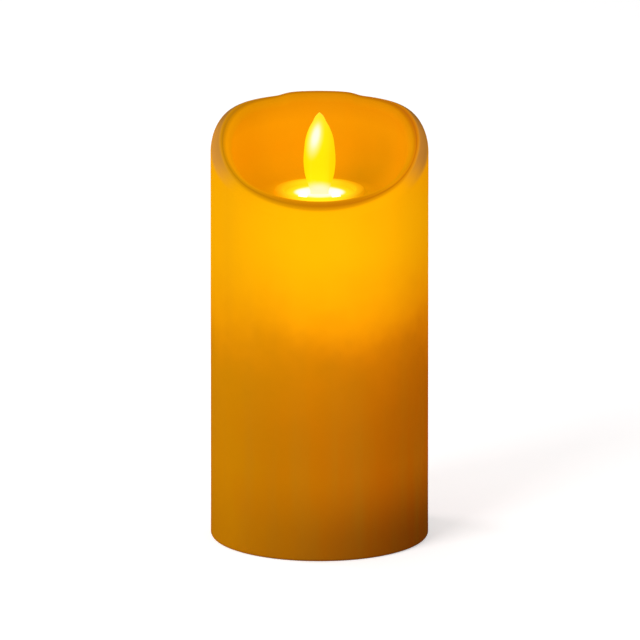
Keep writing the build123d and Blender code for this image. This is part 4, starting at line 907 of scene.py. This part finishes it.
def make_finishes():
    steel = metal("screw_steel", (0.62, 0.62, 0.63), 0.28)
    nickel = metal("contact_nickel", (0.74, 0.71, 0.64), 0.24)
    black = moulded("part_black", (0.022, 0.022, 0.024), 0.42, 3200.0, spread=0.3, dust=0.12)
    ivory = (0.60, 0.50, 0.36)
    return {
        "amber_wax": wax_finish(),
        "collar_ivory": collar_finish(),
        "flame_film": flame_finish(),
        "led_lens": led_finish(),
        "magnet_nickel": metal("magnet_nickel", (0.70, 0.68, 0.64), 0.14),
        "wire_steel": metal("wire_steel", (0.60, 0.60, 0.61), 0.25, (1.0, 14.0, 1.0)),
        "housing_milky": moulded("housing_milky", (0.74, 0.70, 0.60), 0.35, 1800.0, Subsurface_Weight=0.3,
                                 Subsurface_Scale=0.003),
        "screw_steel": steel,
        "lead_tin": metal("lead_tin", (0.72, 0.72, 0.70), 0.22),
        "board_green": board_finish(),
        "bobbin_black": moulded("bobbin_black", (0.03, 0.03, 0.032), 0.4, 2800.0, spread=0.25),
        "winding_copper": copper_finish(),
        "frame_white": moulded("frame_white", (0.70, 0.70, 0.67), 0.42, 2200.0),
        "part_black": black,
        "can_metal": metal("can_metal", (0.66, 0.66, 0.67), 0.26, (1.0, 1.0, 10.0)),
        "capacitor_sleeve": capacitor_finish(),
        "socket_cream": moulded("socket_cream", (0.72, 0.66, 0.50), 0.38, 2600.0),
        "base_ivory": moulded("base_ivory", ivory, 0.5, 1500.0, 0.00009, 0.3),
        "door_ivory": moulded("door_ivory", shade_of(ivory, 1.05), 0.48, 1500.0, 0.00009, 0.3),
        "contact_nickel": nickel,
        "switch_steel": metal("switch_steel", (0.64, 0.64, 0.64), 0.3, (1.0, 12.0, 1.0)),
        "knob_black": moulded("knob_black", (0.025, 0.025, 0.027), 0.46, 2600.0, 0.00008, spread=0.3),
        "insulation_red": insulation("insulation_red", (0.50, 0.015, 0.010)),
        "insulation_black": insulation("insulation_black", (0.018, 0.018, 0.019)),
        "insulation_blue": insulation("insulation_blue", (0.012, 0.045, 0.32)),
        "insulation_white": insulation("insulation_white", (0.70, 0.69, 0.65)),
    }


FINISHES = make_finishes()


def dress(ob, material):
    ob.data.materials.clear()
    ob.data.materials.append(material)


def dress_frame():
    """Gives every CAD node the finish of its slot, but each battery cell a jacket finish of its own."""
    slots = {s["node"]: s["material_slot"] for s in frame["record"]["subparts"]}
    for name, ob in frame["nodes"].items():
        if name.startswith("battery_cell"):
            low, high = node_box(name)
            way = 1 if name.endswith(("1", "3")) else -1
            dress(ob, cell_finish(way, (low.y + high.y) / 2 / MM))
        else:
            dress(ob, FINISHES[slots[name]])


# ------------------------------------------------------------------ pieces
def add_wax():
    ob = wax_shell()
    cast_surface_tree().put_on(
        ob, Sink_depth=0.12 * MM, Swell_size=22 * MM, Still_foot=8 * MM, Seed=3.0,
        Material=FINISHES["amber_wax"],
    )
    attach(ob, "candle")
    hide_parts("wax_shell")


def flame_half_width(z):
    """The paddle's outline: a pointed arch over its widest level, drawn in below it to the neck."""
    if z > FLAME_WIDE_Z:
        rise = min(1.0, (z - FLAME_WIDE_Z) / (FLAME_TIP_Z - FLAME_WIDE_Z))
        return FLAME_HALF_W * (1 - rise ** 2.2) ** 0.72
    return FLAME_HALF_W - 0.018 * (FLAME_WIDE_Z - z) ** 2


def add_flame():
    """The paddle with its blade drawn to a smooth outline; the stem and the magnet cup stay as they are."""
    source = frame["nodes"]["flame"]
    work = bmesh.new()
    work.from_mesh(source.data)
    bmesh.ops.remove_doubles(work, verts=work.verts, dist=1e-6)
    spots = [(source.matrix_world @ v.co) / MM for v in work.verts]
    levels = np.arange(FLAME_NECK_Z, FLAME_TIP_Z + 1.0, 1.0)
    widths = [max([abs(p.x) for p in spots if abs(p.z - z) < 0.8] or [0.0]) for z in levels]
    known = [(z, w) for z, w in zip(levels, widths) if w > 0.3]
    for vert, spot in zip(work.verts, spots):
        if spot.z > FLAME_NECK_Z:
            now = float(np.interp(spot.z, *zip(*known)))
            share = max(0.5, min(1.35, flame_half_width(spot.z) / now))
            spot.x *= 1 + (share - 1) * min(1.0, (spot.z - FLAME_NECK_Z) / 2)
        vert.co = spot * MM
    mesh = bpy.data.meshes.new("flame_paddle_film")
    work.to_mesh(mesh)
    work.free()
    mesh.polygons.foreach_set("use_smooth", [True] * len(mesh.polygons))
    mesh.set_sharp_from_angle(angle=math.radians(35))
    ob = bpy.data.objects.new("flame_paddle_film", mesh)
    bpy.context.scene.collection.objects.link(ob)
    dress(ob, FINISHES["flame_film"])
    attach(ob, "flame_paddle")
    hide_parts("flame")


WIRE_R = 0.2 * MM
WINDING_BORE_R = 3.45 * MM
CORE_SIDES = 64


def add_winding():
    """The coil: a plain core for its hidden inner turns, with rings of wire outside it."""
    low, high = node_box("coil_winding")
    core = high.x - WIRE_R
    inset = WIRE_R * 0.3
    ring = [(WINDING_BORE_R, low.z), (core, low.z + inset), (core, high.z - inset), (WINDING_BORE_R, high.z)]
    verts, faces = [], []
    for n in range(CORE_SIDES):
        angle = 2 * math.pi * n / CORE_SIDES
        verts += [(r * math.cos(angle), r * math.sin(angle), z) for r, z in ring]
        for k in range(4):
            m, j = (n + 1) % CORE_SIDES, (k + 1) % 4
            faces.append((n * 4 + k, m * 4 + k, m * 4 + j, n * 4 + j))
    ob = mesh_object("copper_winding", verts, faces, smooth=False)
    winding_tree().put_on(
        ob, Outer_radius=high.x, Wire_radius=WIRE_R, Height=high.z - low.z,
        Foot=(0.0, 0.0, low.z), Material=FINISHES["winding_copper"],
    )
    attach(ob, "candle")
    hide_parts("coil_winding")


# Pins through the control board, in millimetres across from its middle and up from its lower edge.
LONE_PINS = [(-9.8, 21.0), (-7.4, 21.0), (-9.8, 13.5), (-7.4, 13.5), (7.1, 13.4), (8.9, 13.4)]
TRANSISTOR_AT = (10.0, 7.0)
TRANSISTOR_PITCH = 1.27
SOCKETS = [(-4.0, 7.5, 3), (-9.0, 29.0, 2), (9.0, 29.0, 2)]
SOCKET_PITCH = 2.5


def add_solder():
    """Solder beads on the back of the control board, one under each pin that goes through it."""
    low, high = node_box("control_board")
    pins = list(LONE_PINS)
    pins += [(TRANSISTOR_AT[0] + n * TRANSISTOR_PITCH, TRANSISTOR_AT[1]) for n in (-1, 0, 1)]
    for x, z, count in SOCKETS:
        pins += [(x + (n - (count - 1) / 2) * SOCKET_PITCH, z) for n in range(count)]
    verts = [(x * MM, high.y, low.z + z * MM) for x, z in pins]
    ob = mesh_object("board_solder", verts, [])
    bead_tree().put_on(ob, Bead_radius=0.75 * MM, Flatness=(1.0, 0.75, 1.0), Material=FINISHES["lead_tin"])
    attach(ob, "candle")


# ------------------------------------------------------------------ stage
WHITE = (1.0, 1.0, 1.0)
FLOOR_HALF = 6.0
FLOOR_LIFT = 0.42
ROOM_LIGHT = 0.42
MIDDLE = (0.0, 0.0, 0.08)
UPPER_WALL = (0.0, 0.0, 0.12)
# Each lamp's name, place, aim, size, power and colour.
LAMPS = [
    ("key_left", (-0.95, -1.25, 0.95), MIDDLE, (0.9, 0.9), 18.5, WHITE),
    ("fill_right", (1.3, -0.9, 0.6), MIDDLE, (0.8, 0.8), 6.0, WHITE),
    ("rim_left", (-1.0, 0.5, 0.55), UPPER_WALL, (0.35, 0.6), 5.0, (1.0, 0.86, 0.88)),
]


def lamp(name, place, aim, size, energy, colour):
    data = bpy.data.lights.new(name, "AREA")
    data.shape = "RECTANGLE"
    data.size, data.size_y = size
    data.energy = energy
    data.color = colour
    ob = bpy.data.objects.new(name, data)
    bpy.context.scene.collection.objects.link(ob)
    ob.location = place
    ob.rotation_euler = (Vector(aim) - Vector(place)).to_track_quat("-Z", "Y").to_euler()


def seen_rays(tree):
    """1 where the background is looked at, straight on, in a reflection or through glass."""
    path = tree.nodes.new("ShaderNodeLightPath")
    total = path.outputs["Is Camera Ray"]
    for label in ("Is Glossy Ray", "Is Transmission Ray"):
        both = tree.nodes.new("ShaderNodeMath")
        both.operation = "MAXIMUM"
        tree.links.new(total, both.inputs[0])
        tree.links.new(path.outputs[label], both.inputs[1])
        total = both.outputs[0]
    return total


def add_floor():
    """A pale floor that is clear from below, so that the underside can be seen through it."""
    half = FLOOR_HALF
    corners = [(-half, -half, 0), (half, -half, 0), (half, half, 0), (-half, half, 0)]
    floor = mesh_object("white_floor", corners, [(0, 1, 2, 3)], smooth=False)
    f = Finish("floor_white", 0.8, Specular_IOR_Level=0.1, Emission_Color=(*WHITE, 1.0))
    cloud = f.noise(6.0, 2.0)
    f.feed(Base_Color=f.blend(cloud, (0.86, 0.86, 0.86), (0.88, 0.88, 0.88)))
    f.feed(Emission_Strength=f.math("MULTIPLY", seen_rays(f.tree), FLOOR_LIFT))
    clear = f.node("ShaderNodeBsdfTransparent").outputs[0]
    from_below = f.node("ShaderNodeNewGeometry").outputs["Backfacing"]
    shown = f.node("ShaderNodeMixShader", {0: from_below, 1: f.shader.outputs[0], 2: clear}).outputs[0]
    out = next(n for n in f.tree.nodes if n.type == "OUTPUT_MATERIAL")
    f.tree.links.new(shown, out.inputs["Surface"])
    dress(floor, f.material)


def add_room():
    """A white room that is seen at full strength and lights the object more softly."""
    world = bpy.data.worlds.new("pale_room")
    world.use_nodes = True
    bpy.context.scene.world = world
    tree = world.node_tree
    back = next(n for n in tree.nodes if n.type == "BACKGROUND")
    strength = add_node(tree, "ShaderNodeMapRange", {
        "Value": seen_rays(tree), "To Min": ROOM_LIGHT, "To Max": 1.0,
    }, {})
    tree.links.new(strength.outputs["Result"], back.inputs["Strength"])
    back.inputs["Color"].default_value = (*WHITE, 1.0)


def add_stage():
    add_floor()
    add_room()
    for one in LAMPS:
        lamp(*one)


CAMERA_ELEVATION = 14.5
CAMERA_DISTANCE = 7.0
AIM = (0.17 * MM, 0.0, 76.1 * MM)
VIEW_WIDTH = 220.2 * MM


def add_camera():
    data = bpy.data.cameras.new("product_camera")
    data.sensor_width = 36.0
    data.lens = 36.0 * CAMERA_DISTANCE / VIEW_WIDTH
    data.clip_end = 50.0
    ob = bpy.data.objects.new("product_camera", data)
    bpy.context.scene.collection.objects.link(ob)
    rise = math.radians(CAMERA_ELEVATION)
    place = Vector(AIM) + CAMERA_DISTANCE * Vector((0.0, -math.cos(rise), math.sin(rise)))
    ob.location = place
    ob.rotation_euler = (Vector(AIM) - place).to_track_quat("-Z", "Y").to_euler()
    bpy.context.scene.camera = ob


bpy.context.scene.view_settings.view_transform = "Standard"
add_camera()
add_stage()
dress_frame()
add_wax()
add_flame()
add_winding()
add_solder()
